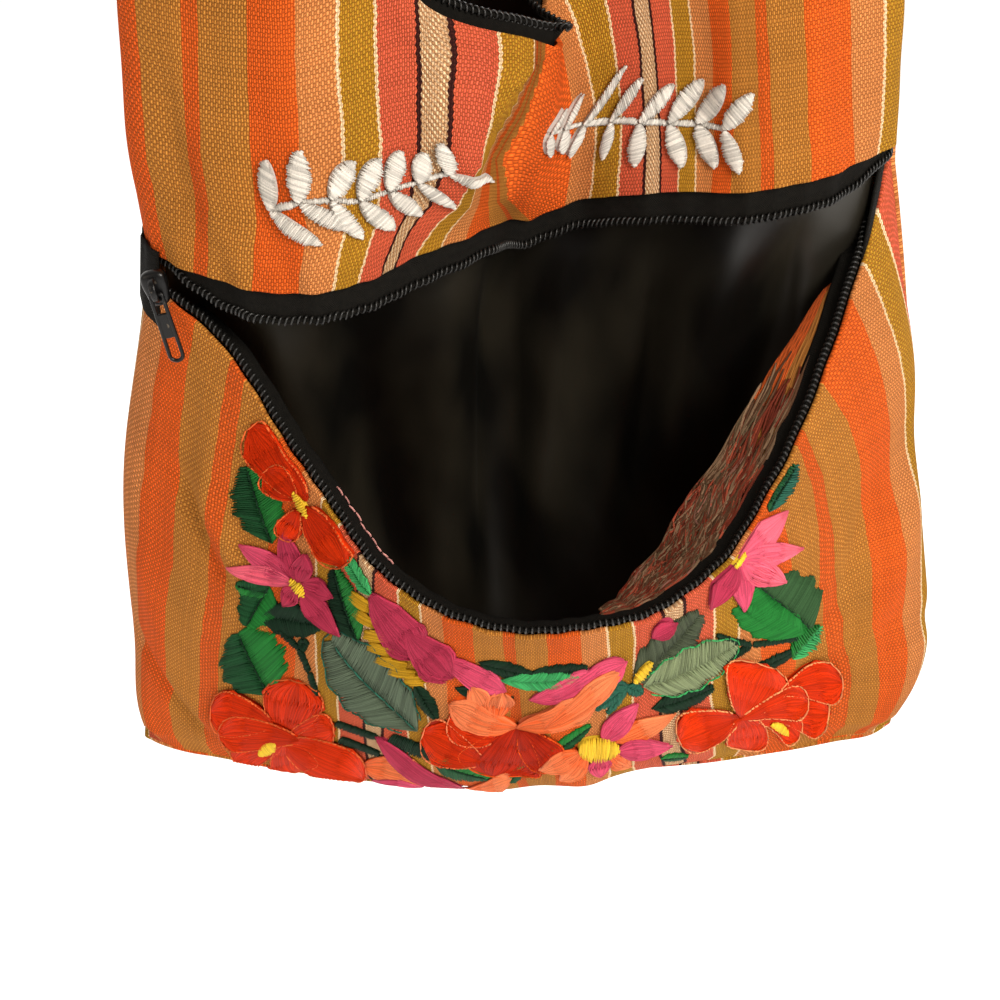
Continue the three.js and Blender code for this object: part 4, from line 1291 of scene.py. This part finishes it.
# Zip ends: tape that closes each end of the pocket's opening, from the hem down to the lip.
def makeZipEnd(name, columns, hemAt, lipAt, proud, grid=(24, 12)):
    u, v = np.meshgrid(np.linspace(*columns, grid[0]), np.linspace(0, 1, grid[1]), indexing="ij")
    high = upperCloth(u, hemAt) + facing(upperAt, u, hemAt)[2] * proud
    low = pocketCloth(u, lipAt) + facing(pocketAt, u, lipAt)[2] * proud
    points = mix(low, high, v[..., None])
    uv = np.stack([lengthAlong(points, 0), lengthAlong(points, 1)], axis=-1)
    piece = makeObject(name, toFrame(points), gridQuads(*grid), uv=uv)
    thicken(piece, tapePlan["thick"])
    return finishPiece(piece, tape)


zipEnds = [
    makeZipEnd("left_zip_end", columns=(0.0, 0.085), hemAt=0.014, lipAt=0.962, proud=1.3),
    makeZipEnd("right_zip_end", columns=(0.94, 0.998), hemAt=0.012, lipAt=0.985, proud=-2.2),
]

# Facing inside the pocket's lip: black tape all along, and at the right the turned-in back of the cloth
facingPlan = {
    "from": 0.10, "to": 0.95, "tapeWide": 5.5, "drop": 12.0, "behind": 3.4, "clothFrom": 0.635,
    "clothTo": 0.938, "clothWide": 18.0, "clothLong": 127.0, "overlap": 1, "ripple": 0.9, "sink": 0.4,
    "warp": (224.0, 240.0),
}


# Place inside the lip: straight inwards by the reach, sinking a little.
def facingAt(u, reach):
    u, reach = spreadOut(u, reach)
    alongU, _, out = facing(pocketAt, u, 1.0)
    inward = np.cross(np.array([0, 0, 1.0]), unit(alongU * [1, 1, 0]))
    sink = math.radians(facingPlan["drop"])
    way = inward * math.cos(sink) - np.array([0, 0, math.sin(sink)])
    return pocketCloth(u, 1.0) - out * facingPlan["behind"] + way * reach[..., None]


def tapeFacing(u, v):
    return facingAt(mix(facingPlan["from"], facingPlan["to"], u), v * facingPlan["tapeWide"])


def clothFacing(u, v):
    u, v = spreadOut(u, v)
    wide = facingPlan["clothWide"] * np.clip(np.sin(np.pi * u), 0, 1) ** 0.6 + 1
    across = mix(facingPlan["clothFrom"], facingPlan["clothTo"], u)
    point = facingAt(across, facingPlan["tapeWide"] - facingPlan["overlap"] + v * wide)
    point[..., 2] += facingPlan["ripple"] * np.sin(u * 22 + 2 * v) * v - facingPlan["sink"]
    return point


def facingWarp(u, v):
    return mix(*facingPlan["warp"], v)


tapeFacingPiece = addSheet("lip_tape_facing", tapeFacing, (160, 8), wall=0.7, look=tape)
turnedIn = {"wall": 1.0, "look": clothReverse}
clothFacingPiece = addSheet("lip_cloth_facing", clothFacing, (120, 24), (), facingWarp, **turnedIn)
print("seams, zip ends and facing made")

# Embroidery floss colours
floss = {
    "red": dye(222, 54, 6), "redDeep": dye(190, 40, 6), "redDark": dye(158, 32, 8),
    "flame": dye(236, 88, 26), "salmon": dye(240, 132, 84), "pink": dye(226, 84, 116),
    "pinkDeep": dye(184, 54, 82), "rose": dye(248, 110, 130), "peach": dye(246, 160, 104),
    "ember": dye(232, 108, 54), "darkLeaf": dye(26, 50, 34), "deepGreen": dye(34, 82, 48),
    "green": dye(38, 122, 52), "mint": dye(66, 168, 98), "dullGreen": dye(56, 88, 54),
    "teal": dye(46, 98, 80), "sage": dye(98, 112, 92), "sageDark": dye(76, 84, 64),
    "sageLight": dye(134, 146, 108), "gold": dye(206, 156, 36), "yellow": dye(246, 202, 56),
    "white": dye(218, 211, 202),
}
# Motifs on the pocket laid flat, in millimetres. Each row: base, tip, and how far the left side lies off that
# line, two numbers each.
motifGroups = [
    dict(kind="leaf", floss="deepGreen green", vein="darkLeaf", rows=[
        (84, 156, 69, 171, -8, -11), (87, 79, 75, 107, -11, -20),
    ]),
    dict(kind="leaf", floss="green deepGreen", vein="darkLeaf", rows=[
        (85, 138, 78, 111, 6, 1), (85, 135, 73, 127, -1, -6), (186, 103, 202, 128, -1, 5),
        (147, 92, 167, 72, 2, 15), (173, 62, 179, 82, -1, 9), (227, 58, 238, 39, -1, 11),
    ]),
    dict(kind="leaf", floss="darkLeaf darkLeaf", rows=[
        (83, 121, 106, 141, 0, 9), (142, 144, 150, 128, 3, 5), (166, 170, 184, 167, 1, 5),
        (182, 167, 202, 168, 0, 5), (157, 152, 177, 148, 1, 4), (248, 111, 270, 87, -2, 8),
        (222, 126, 242, 116, -1, 10),
    ]),
    dict(kind="leaf", floss="darkLeaf green", vein="darkLeaf", rows=[(120, 148, 108, 172, -6, -9)]),
    dict(kind="leaf", floss="green green", rows=[(271, 95, 250, 163, -5, 1)]),
    dict(kind="leaf", floss="green dullGreen", vein="darkLeaf", rows=[(274, 91, 258, 163, -9, 2)]),
    dict(kind="leaf", floss="green mint", over=True, rows=[(268, 84, 278, 86, -4, 14)]),
    dict(kind="leaf", floss="mint mint", over=True, rows=[
        (125, 179, 111, 183, -2, -5), (173, 162, 200, 163, 0, 6),
    ]),
    dict(kind="leaf", floss="deepGreen teal", vein="darkLeaf", rows=[(270, 186, 282, 186, -2, 8)]),
    dict(kind="leaf", floss="teal teal", rows=[
        (214, 149, 203, 138, 1, -4), (214, 149, 207, 133, 1, -3), (214, 149, 219, 141, 1, 4),
        (214, 150, 207, 155, 0, -3),
    ]),
    dict(kind="leaf", floss="sage sage", vein="teal", edge="teal", rows=[
        (142, 111, 108, 139, -9, -22),
    ]),
    dict(kind="leaf", floss="sageDark sageDark", rows=[(216, 151, 240, 175, -4, 15)]),
    dict(kind="leaf", floss="sageLight sageLight", edge="mint", over=True, rows=[
        (219, 146, 250, 137, -2, 17),
    ]),
    dict(kind="bar", floss="darkLeaf darkLeaf", rows=[
        (90, 121, 98, 119, 1, 2), (98, 119, 102, 110, 1, 2), (102, 110, 105, 97, 1, 2),
        (99, 121, 98, 124, -1, -1), (98, 124, 101, 127, 0, 1), (101, 127, 99, 120, 1, 0),
        (243, 153, 254, 127, 0, 2), (254, 127, 270, 95, 0, 2), (254, 127, 245, 131, 0, -3),
        (111, 83, 127, 89, 1, 4), (112, 69, 127, 70, 1, 5), (131, 93, 149, 96, 1, 7),
    ]),
    dict(kind="petal", floss="pinkDeep pinkDeep", rows=[
        (125, 179, 144, 163, 6, 12), (139, 173, 156, 158, 5, 10), (127, 90, 156, 31, 3, 18),
        (223, 179, 231, 180, -1, 7),
    ]),
    dict(kind="petal", floss="pink pinkDeep", rows=[
        (153, 168, 174, 154, 2, 7), (182, 149, 205, 163, -1, 7), (191, 151, 214, 167, -2, 7),
        (121, 18, 140, 26, 1, 13),
    ]),
    dict(kind="petal", floss="salmon flame", rows=[
        (119, 45, 143, 50, 3, 31), (157, 33, 174, 68, 0, 18), (169, 133, 163, 155, -3, -4),
        (170, 133, 173, 153, -4, 1), (177, 125, 155, 143, -2, -8), (177, 125, 204, 148, -2, 8),
        (186, 130, 211, 162, -2, 6),
    ]),
    dict(kind="petal", floss="redDeep redDark", edge="flame", rows=[
        (177, 125, 168, 78, 12, -14), (178, 122, 189, 91, 5, 13),
    ]),
    dict(kind="petal", floss="red redDeep", edge="salmon", rows=[
        (165, 101, 144, 112, -3, -19), (170, 121, 154, 132, -2, -11),
    ]),
    dict(kind="petal", floss="red redDeep", edge="ember", rows=[
        (94, 184, 68, 183, -5, -10), (90, 180, 77, 177, -3, -7), (92, 178, 88, 162, 4, 2),
        (94, 181, 114, 181, 5, 11),
    ]),
    dict(kind="petal", floss="red redDeep", edge="ember", rows=[
        (91, 48, 98, 100, -10, -6), (92, 48, 111, 78, 0, 14), (92, 46, 61, 0, -1, -18),
        (92, 46, 89, 1, 11, 16), (90, 41, 118, 18, 6, 36), (87, 58, 62, 45, -3, -18),
        (97, 54, 62, 27, -3, -17),
    ]),
    dict(kind="petal", floss="red redDeep", edge="peach", rows=[
        (265, 40, 289, 20, -5, 18), (259, 50, 282, 8, 0, 9), (252, 68, 263, 10, 8, -10),
        (251, 70, 231, 82, 4, -29), (252, 69, 258, 103, -10, 31), (265, 63, 288, 40, -4, 16),
        (252, 68, 278, 37, -3, 16),
    ]),
    dict(kind="point", floss="pinkDeep pinkDeep", rows=[
        (95, 151, 87, 165, -4, -5), (95, 148, 91, 135, 3, 0), (97, 152, 109, 159, 1, 6),
        (97, 149, 113, 144, 3, 7), (96, 152, 97, 165, -4, -3), (253, 189, 242, 175, 3, -9),
    ]),
    dict(kind="point", floss="pink pinkDeep", rows=[
        (93, 150, 73, 144, -2, -6), (254, 187, 253, 154, 4, -6), (205, 113, 217, 135, -3, 8),
        (210, 99, 229, 79, -1, 14), (204, 98, 205, 76, 4, -1),
    ]),
    dict(kind="point", floss="rose pink", rows=[
        (94, 149, 70, 132, -1, -5), (255, 189, 274, 175, -1, 11), (256, 187, 274, 149, 1, 6),
        (255, 186, 267, 143, 3, 3),
    ]),
    dict(kind="point", floss="salmon flame", rows=[
        (209, 109, 229, 113, -2, 11), (208, 96, 216, 69, 2, 8), (200, 104, 191, 79, 3, -10),
        (198, 108, 184, 87, 2, -9),
    ]),
    dict(kind="bar", floss="gold gold", rows=[
        (120, 166, 122, 174, 5, 2), (122, 160, 124, 167, 5, 2), (127, 155, 128, 162, 5, 4),
        (128, 149, 130, 156, 5, 3), (132, 145, 134, 152, 6, 4), (136, 143, 138, 150, 5, 4),
        (142, 144, 142, 150, 4, 4),
    ]),
    dict(kind="dot", floss="yellow yellow", rows=[
        (93, 150, 99, 149, 1, 3), (252, 189, 257, 187, 1, 2), (197, 110, 211, 101, 0, 12),
    ]),
    dict(kind="lobe", floss="yellow yellow", rows=[
        (87, 40, 77, 18, 1, -4), (266, 34, 276, 15, 0, 3), (216, 152, 222, 163, -1, 3),
        (89, 182, 96, 180, 1, 2),
    ]),
]
# Half width of each kind of motif from base to tip: broad petals, pointed ones, toothed leaves, plain lobes,
# bars and dots.
outlines = {
    "petal": lambda t: np.sqrt(2 * t * np.maximum(1 - t**6, 0)),
    "point": lambda t: np.sin(np.pi * t**0.8),
    "leaf": lambda t: np.sin(np.pi * t) ** 0.6 * (1 + 0.08 * np.sin(9 * np.pi * t)),
    "lobe": lambda t: np.sin(np.pi * t) ** 0.6,
    "bar": lambda t: np.sqrt(np.maximum(1 - (2 * t - 1) ** 8, 0)),
    "dot": lambda t: np.sqrt(np.maximum(1 - (2 * t - 1) ** 2, 0)),
}
sewingPlan = {
    "pitch": 0.6, "threadWide": 0.9, "threadTall": 0.22, "edgeWide": 0.55, "jitter": 0.18,
    "layer": 0.14,
    "lift": {"leaf": 0.25, "bar": 0.4, "petal": 0.45, "point": 0.6, "lobe": 1.5, "dot": 1.4},
    "edgeLift": 0.2, "veinLift": 0.15, "loose": 0.15, "arch": 0.25, "sunk": 0.3,
    "pinch": (0.4, 1, 1, 1, 0.4), "tones": (0.70, 1.24), "mapApart": 1.7, "mapRing": (0, 0.3, 0.6),
}
padPlan = {"grid": (15, 11), "sunk": 0.3, "under": 0.1, "dark": 0.8, "sideSlope": 4, "endSlope": 12}


# Place in a motif: along its middle line by t, and off it by c of its side, left where c is positive.
def motifPlace(motif, t, c):
    half = c * outlines[motif["kind"]](np.clip(t, 0, 1))
    return motif["base"] + motif["along"] * t[..., None] + motif["side"] * half[..., None]


def newMotif(kind, base, along, side, colours, edge=None, vein=None):
    first, second = (np.array(floss[name]) for name in colours.split())
    edge, vein = (name and np.array(floss[name]) for name in (edge, vein))
    return {"kind": kind, "base": base, "along": along, "side": side, "first": first, "second": second,
            "edge": edge, "vein": vein, "lift": sewingPlan["lift"][kind]}


def stitchRows(start, end, colour, lift, wide, middle=None):
    middle = (start + end) / 2 if middle is None else middle
    start, middle, end = (point.reshape(-1, 2) for point in (start, middle, end))
    colour = np.broadcast_to(colour, start.shape[:1] + (3,)) if colour.ndim == 1 else colour.reshape(-1, 3)
    lift, wide = np.full(len(start), lift), np.full(len(start), wide)
    return {"start": start, "middle": middle, "end": end, "colour": colour, "lift": lift, "wide": wide}


# Stitches of one motif: long and short along petals, slanted halves on leaves, straight across the rest.
def stitchMotif(motif):
    pitch, wide = sewingPlan["pitch"], sewingPlan["threadWide"]
    length = np.hypot(*motif["along"])
    lift = motif["lift"]
    rows = []

    def sewLine(points, colour, above):
        rows.append(stitchRows(points[:-1], points[1:], colour, lift + above, sewingPlan["edgeWide"]))

    if motif["kind"] in ("petal", "point"):
        lines = max(6, int(2.2 * np.hypot(*motif["side"]) / pitch))
        parts = 1 + int(length > 10) + int(length > 24)
        c = np.linspace(-0.97, 0.97, lines)[:, None] + np.zeros(parts)
        cuts = np.linspace(0.02, 0.98, parts + 1) + dice.uniform(-0.06, 0.06, (lines, parts + 1))
        first, last = np.clip(cuts[:, :-1] - 0.05, 0, 1), np.clip(cuts[:, 1:] + 0.05, 0.1, 1)
        start, middle, end = (motifPlace(motif, t, c) for t in (first, (first + last) / 2, last))
        deep = np.linspace(0.9, 0.1, parts) * dice.uniform(0.3, 1.0, (lines, parts))
        colour = mix(motif["first"], motif["second"], deep[..., None])
        rows.append(stitchRows(start, end, colour, lift, wide, middle))
    elif motif["kind"] == "leaf":
        t = np.linspace(0.0, 0.94, max(14, int(length / pitch)))
        for side, colour in ((1.0, motif["first"]), (-1.0, motif["second"])):
            end = motifPlace(motif, np.minimum(t + 0.16 * (1 - t) + 0.02, 0.99), side + 0 * t)
            rows.append(stitchRows(motifPlace(motif, t, 0 * t), end, colour, lift, wide))
    else:
        t = np.linspace(0.03, 0.97, max(6, int(length / pitch)))
        start, end = motifPlace(motif, t, -1 + 0 * t), motifPlace(motif, np.minimum(t + 0.03, 1), 1 + 0 * t)
        rows.append(stitchRows(start, end, motif["first"], lift, wide))
    if motif["edge"] is not None:
        t = np.concatenate([np.linspace(0.06, 0.99, 18), np.linspace(0.99, 0.06, 18)])
        sewLine(motifPlace(motif, t, np.repeat([1.0, -1.0], 18)), motif["edge"], sewingPlan["edgeLift"])
    if motif["vein"] is not None:
        t = np.linspace(0.02, 0.9, 9)
        sewLine(motifPlace(motif, t, 0 * t), motif["vein"], sewingPlan["veinLift"])
    return rows


def onFlat(flat, place):  # shares of a sheet under places on it laid flat
    u, v = place[..., 0] / flat["wide"], place[..., 1] / flat["tall"]
    return np.clip(u, 0.002, 0.998), np.clip(v, 0.002, 0.995)


# Threads: each stitch a low three-sided strand laid over the cloth from start to end, pinched at both ends.
def sewThreads(name, surface, bare, flat, rows, tall=sewingPlan["threadTall"], jitter=sewingPlan["jitter"]):
    keys = ("start", "middle", "end", "colour", "lift", "wide")
    start, middle, end, colour, lift, wide = (np.concatenate([row[key] for row in rows]) for key in keys)
    n, steps = len(start), len(sewingPlan["pinch"])
    s = np.linspace(0, 1, steps)
    start = start + dice.normal(0, jitter, start.shape)
    end = end + dice.normal(0, jitter, end.shape)
    u, v = onFlat(flat, arcThrough(start[:, None], middle[:, None], end[:, None], s))
    out = facing(bare, u, v)[2]
    loose = dice.uniform(0, sewingPlan["loose"], (n, 1))
    rise = lift[:, None] + loose + sewingPlan["arch"] * np.sin(np.pi * s)
    line = surface(u, v) + out * rise[..., None]
    along = unit(np.gradient(line, axis=1))
    side = unit(np.cross(out, along)) * (wide[:, None] / 2 * np.array(sewingPlan["pinch"]))[..., None]
    sunk = out * sewingPlan["sunk"]
    ring = np.stack([line - side - sunk, line + out * tall, line + side - sunk], axis=2)
    first = np.arange(n)[:, None, None] * steps * 3
    quads = (first + gridQuads(steps, 3, roundRows=True)).reshape(-1, 4)
    last = (steps - 1) * 3
    caps = (first + np.array([[0, 1, 2], [last, last + 2, last + 1]])).reshape(-1, 3)
    length = np.linalg.norm(end - start, axis=1)
    mapAcross = np.arange(n)[:, None, None] * sewingPlan["mapApart"] + np.array(sewingPlan["mapRing"])
    uv = np.stack(np.broadcast_arrays((length[:, None] * s)[..., None], mapAcross), axis=-1)
    tone = dice.uniform(*sewingPlan["tones"], (n, 1))
    colours = np.repeat(np.clip(colour * tone, 0, 1), steps * 3, axis=0)
    return finishPiece(makeObject(name, toFrame(ring), quads, caps, uv=uv, colours=colours), stitching)


# Pads: a low mound of packing stitches under each motif, sunk into the cloth at its rim, coloured darker than their
# floss as painted shade between the threads.
def makePads(name, surface, bare, flat, motifs):
    columns, rows = padPlan["grid"]
    t, c = np.meshgrid(np.linspace(0.01, 0.99, columns), np.linspace(-1, 1, rows), indexing="ij")
    full = np.minimum(1, padPlan["sideSlope"] * (1 - np.abs(c)))
    full = full * np.minimum(1, padPlan["endSlope"] * t) * np.minimum(1, padPlan["endSlope"] * (1 - t))
    points, colours, places = [], [], []
    for motif in motifs:
        place = motifPlace(motif, t, c)
        u, v = onFlat(flat, place)
        mound = mix(-padPlan["sunk"], motif["lift"] - padPlan["under"], full)
        points.append(surface(u, v) + facing(bare, u, v)[2] * mound[..., None])
        half = np.where(c[..., None] > 0, motif["first"], motif["second"])
        # Darker than the floss: painted shade showing between the threads above.
        colours.append((half * padPlan["dark"]).reshape(-1, 3))
        places.append(place)
    quads = np.arange(len(motifs))[:, None, None] * t.size + gridQuads(columns, rows)
    piece = makeObject(name, toFrame(np.concatenate(points)), quads.reshape(-1, 4), uv=np.concatenate(places),
                       colours=np.concatenate(colours))
    return finishPiece(piece, stitching)


def sewMotifs(name, surface, bare, flat, motifs):
    return sewThreads(name, surface, bare, flat, sum((stitchMotif(motif) for motif in motifs), []))


pocketMotifs = []
for group in motifGroups:
    for order, row in enumerate(group["rows"]):
        base, tip, side = np.reshape(np.array(row, float), (3, 2))
        outlining = (group.get("edge"), group.get("vein"))
        motif = newMotif(group["kind"], base, tip - base, side, group["floss"], *outlining)
        if group["kind"] in ("petal", "point"):  # a later petal lies over the earlier ones
            motif["lift"] += sewingPlan["layer"] * order
        elif group.get("over"):
            motif["lift"] += 2 * sewingPlan["layer"]
        pocketMotifs.append(motif)
petalMotifs = [motif for motif in pocketMotifs if motif["kind"] == "petal"]
otherMotifs = [motif for motif in pocketMotifs if motif["kind"] != "petal"]
onPocket = (pocketCloth, pocketAt, pocketFlat)
embroideryPieces = [
    makePads("embroidery_pads", *onPocket, pocketMotifs),
    sewMotifs("petal_stitches", *onPocket, petalMotifs),
    sewMotifs("leaf_and_daisy_stitches", *onPocket, otherMotifs),
]
print("embroidery sewn")

# White sprig on the upper panel: two runs of vine with paired leaves, either side of the deep fold
sprigPlan = {
    "leftRun": [(84, 33), (100, 40), (117, 40), (132, 47), (138, 58)],
    "rightRun": [(168, 96), (183, 82), (196, 61), (206, 45), (216, 35), (235, 29)], "steps": 200,
    "every": 8.5, "leafLong": 14.0, "leafHalf": 2.8, "spread": 58.0, "vineHalf": 0.9, "stretch": (0.6, 1.7),
}


# Sprig along a run: a bar from each place to the next, and a leaf to either side of each. Sizes are in real
# millimetres, so they are stretched to those of the panel laid flat.
def sprigMotifs(run, step=2e-3):
    steps = sprigPlan["steps"]
    places = curveThrough(np.array(run, float), steps)
    u, v = places[:, 0] / upperFlat["wide"], places[:, 1] / upperFlat["tall"]
    length = lengthAlong(upperCloth(u, v)[:, None], 0)[:, 0]
    count = int(length[-1] / sprigPlan["every"])
    at = np.interp(np.linspace(0, length[-1], count + 1), length, np.arange(steps)).astype(int)
    acrossMm = np.linalg.norm(upperAt(u + step, v) - upperAt(u - step, v), axis=-1) / (2 * step)
    upMm = np.linalg.norm(upperAt(u, v + step) - upperAt(u, v - step), axis=-1) / (2 * step)
    stretch = np.stack([upperFlat["wide"] / acrossMm, upperFlat["tall"] / upMm], axis=-1)
    stretch = np.clip(stretch, *sprigPlan["stretch"])
    motifs = []

    def add(kind, k, along, half):  # half is the way to the left side
        motifs.append(newMotif(kind, places[k], along * stretch[k], half * stretch[k], "white white"))

    for j, k in enumerate(at):
        if j < count:
            along = (places[at[j + 1]] - places[k]) / stretch[k]
            add("bar", k, along, np.array([-along[1], along[0]]) / np.hypot(*along) * sprigPlan["vineHalf"])
        way = (places[min(k + 2, steps - 1)] - places[max(k - 2, 0)]) / stretch[k]
        heading = math.atan2(way[1], way[0])
        for side in (1, -1):
            angle = heading + side * math.radians(sprigPlan["spread"])
            along = np.array([math.cos(angle), math.sin(angle)])
            left = np.array([-math.sin(angle), math.cos(angle)])
            add("lobe", k, sprigPlan["leafLong"] * along, sprigPlan["leafHalf"] * left)
    return motifs


whiteMotifs = sprigMotifs(sprigPlan["leftRun"]) + sprigMotifs(sprigPlan["rightRun"])
onUpper = (upperCloth, upperAt, upperFlat)
sprigPieces = [
    makePads("sprig_pads", *onUpper, whiteMotifs),
    sewMotifs("sprig_stitches", *onUpper, whiteMotifs),
]

# Back of the embroidery on the turned-in cloth: loose strands crossing each other
strandPlan = {
    "count": 800, "to": 0.8, "length": (7.0, 18.0), "heading": (0.12, 0.2), "wide": 1.0, "tall": 0.12,
    "lift": 0.4, "jitter": 0.3, "sway": 1.2, "zone": 3.4, "zoneWave": 16, "zoneSeed": 31,
    "pick": (3.0, 0.7),
}
strandColours = np.array([
    dye(138, 46, 28), dye(150, 70, 50), dye(108, 46, 32), dye(90, 62, 44),
    dye(132, 104, 80), dye(88, 72, 52), dye(138, 94, 80), dye(58, 60, 44),
])
strandFlat = {"wide": facingPlan["clothLong"], "tall": facingPlan["clothWide"]}


def sewStrands():
    count = strandPlan["count"]
    start = dice.uniform(0.03, 0.97, (count, 2)) * [strandFlat["wide"] * strandPlan["to"], strandFlat["tall"]]
    angle = dice.normal(*strandPlan["heading"], count) + np.pi * dice.integers(0, 2, count)
    length = dice.uniform(*strandPlan["length"], count)
    end = start + length[:, None] * np.stack([np.cos(angle), np.sin(angle)], axis=-1)
    zone = unevenness(start[:, 0], start[:, 1], strandPlan["zoneWave"], strandPlan["zoneSeed"])
    pick = np.round(strandPlan["zone"] * zone + dice.normal(*strandPlan["pick"], count)).astype(int)
    colour = strandColours[pick % len(strandColours)]
    middle = (start + end) / 2 + dice.normal(0, strandPlan["sway"], (count, 2))
    row = stitchRows(start, end, colour, strandPlan["lift"], strandPlan["wide"], middle)
    size = (strandPlan["tall"], strandPlan["jitter"])
    return sewThreads("reverse_strands", clothFacing, clothFacing, strandFlat, [row], *size)


# Running stitch along the tape facing
runPlan = {
    "from": 74, "to": 108, "every": 3.4, "up": 4.3, "sway": 0.4, "stitch": (3.1, 0.2), "wide": 0.4,
    "lift": 0.2, "tall": 0.3, "jitter": 0.1, "colour": dye(216, 150, 142),
}
runFlat = {"wide": 320.0, "tall": facingPlan["tapeWide"]}


def sewRun():
    at = np.arange(runPlan["from"], runPlan["to"], runPlan["every"])
    start = np.stack([at, runPlan["up"] + runPlan["sway"] * np.sin(at)], axis=-1)
    end = start + runPlan["stitch"]
    row = stitchRows(start, end, np.array(runPlan["colour"]), runPlan["lift"], runPlan["wide"])
    size = (runPlan["tall"], runPlan["jitter"])
    return sewThreads("running_stitch", tapeFacing, tapeFacing, runFlat, [row], *size)


strandPiece = sewStrands()
runPiece = sewRun()
print("sprig, loose strands and running stitch sewn")

# Cut sizes of the cloth in metres, and what is sewn to each sheet
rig.sheet(backPiece, flat=(0.29, 0.36), area=0.096, held="hung", rests_on=[strapPiece],
         with_pieces=[*zipPieces["mouth_zip_back"], *weltPieces])
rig.sheet(upperPiece, flat=(0.32, 0.15), area=0.0435, held="hung", rests_on=[strapPiece],
         with_pieces=[*zipPieces["mouth_zip_front"], *zipPieces["pocket_zip_upper"], *zipEnds, *sprigPieces])
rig.sheet(pocketPiece, flat=(0.33, 0.205), area=0.065, held="hung", rests_on=[backPiece],
         with_pieces=[*zipPieces["pocket_zip_lower"], tapeFacingPiece, runPiece, *embroideryPieces])
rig.sheet(clothFacingPiece, flat=(0.127, 0.018), area=0.0019, held="folded", rests_on=[pocketPiece],
         with_pieces=[strandPiece])
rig.sheet(liningPiece, flat=(0.30, 0.215), area=0.057, held="hung", rests_on=[upperPiece])
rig.sheet(backLiningPiece, flat=(0.26, 0.28), area=0.066, held="hung", rests_on=[backPiece])
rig.sheet(strapPiece, flat=(0.053, 0.69), held="hung")

# Camera where the photograph was taken from, floor and soft light
cameraPlan = {
    "place": (-0.0085, -0.6062, -0.258), "target": (-0.0085, 0.0, -0.608), "lens": 74.117,
    "sensor": 36.0, "clipStart": 0.01,
}
stage = bpy.context.scene
camera = addToScene("camera", bpy.data.cameras.new("camera"))
camera.data.lens = cameraPlan["lens"]
camera.data.sensor_width = cameraPlan["sensor"]
camera.data.clip_start = cameraPlan["clipStart"]
lookAlong = np.subtract(cameraPlan["target"], cameraPlan["place"])
camera.location = cameraPlan["place"]
camera.rotation_euler = (math.pi / 2 + math.asin(lookAlong[2] / np.linalg.norm(lookAlong)), 0, 0)
stage.camera = camera

stagePlan = {
    "floorDrop": 0.35, "floorHalf": 6.0, "wall": 1.0, "room": 0.33, "wallFrom": (-0.1, 0.5),
    "glow": 0.4, "tint": (1, 0.96, 0.9, 1), "floorDark": dye(246, 246, 246),
    "floorLight": dye(252, 252, 252),
}
floorZ = cadBox[0].z - stagePlan["floorDrop"]
h = stagePlan["floorHalf"]
floorPoints = np.array([(-h, -h, floorZ), (h, -h, floorZ), (h, h, floorZ), (-h, h, floorZ)])
floor = makeObject("floor", floorPoints, np.array([[0, 1, 2, 3]]))
floorLook = {"Roughness": 0.9, "Emission_Color": (1, 1, 1, 1), "Emission_Strength": stagePlan["glow"]}
floorMaterial, floorTree, giveFloor = newMaterial("pale floor", **floorLook)
speckle = put(floorTree, "ShaderNodeTexNoise", {"Scale": 3.0, "Detail": 2.0}).outputs[0]
giveFloor(Base_Color=blendColour(floorTree, speckle, stagePlan["floorDark"], stagePlan["floorLight"]))
floor.data.materials.append(floorMaterial)
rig.stage(floor)

world = bpy.data.worlds.new("studio")
world.use_nodes = True
sky = world.node_tree
generated = put(sky, "ShaderNodeTexCoord").outputs["Generated"]
direction = put(sky, "ShaderNodeSeparateXYZ", {0: generated}).outputs[1]
background = sky.nodes["Background"].inputs
background[0].default_value = stagePlan["tint"]
feed(sky, background[1], ranged(sky, direction, *stagePlan["wallFrom"], stagePlan["room"], stagePlan["wall"]))
stage.world = world
stage.view_settings.view_transform = "Standard"

lampPlan = table(
    "name place target size watts colour",
    ("key", (0.75, -1.15, 0.35), (0.0, -0.05, -0.58), 0.7, 30, (1, 0.95, 0.87)),
    ("fill", (-1.1, -0.9, 0.0), (0, 0, -0.58), 0.9, 3.5, (1, 0.86, 0.70)),
    ("rim", (0.5, 1.2, 0.6), (0, 0, -0.4), 1.0, 14, (1, 1, 1)),
)
for plan in lampPlan:
    lamp = bpy.data.lights.new(plan["name"], "AREA")
    lamp.size = plan["size"]
    lamp.energy = plan["watts"]
    lamp.color = plan["colour"]
    holder = addToScene(plan["name"], lamp)
    holder.location = plan["place"]
    aim = np.subtract(plan["target"], plan["place"])
    tilt = math.atan2(math.hypot(aim[0], aim[1]), -aim[2])
    holder.rotation_euler = (tilt, 0, math.atan2(aim[1], aim[0]) - math.pi / 2)
print("camera, floor and lamps placed")

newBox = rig.bounds()
with open("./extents.json", "w") as sizeFile:
    json.dump({"cad": [list(c) for c in cadBox], "visual": [list(c) for c in newBox]}, sizeFile)
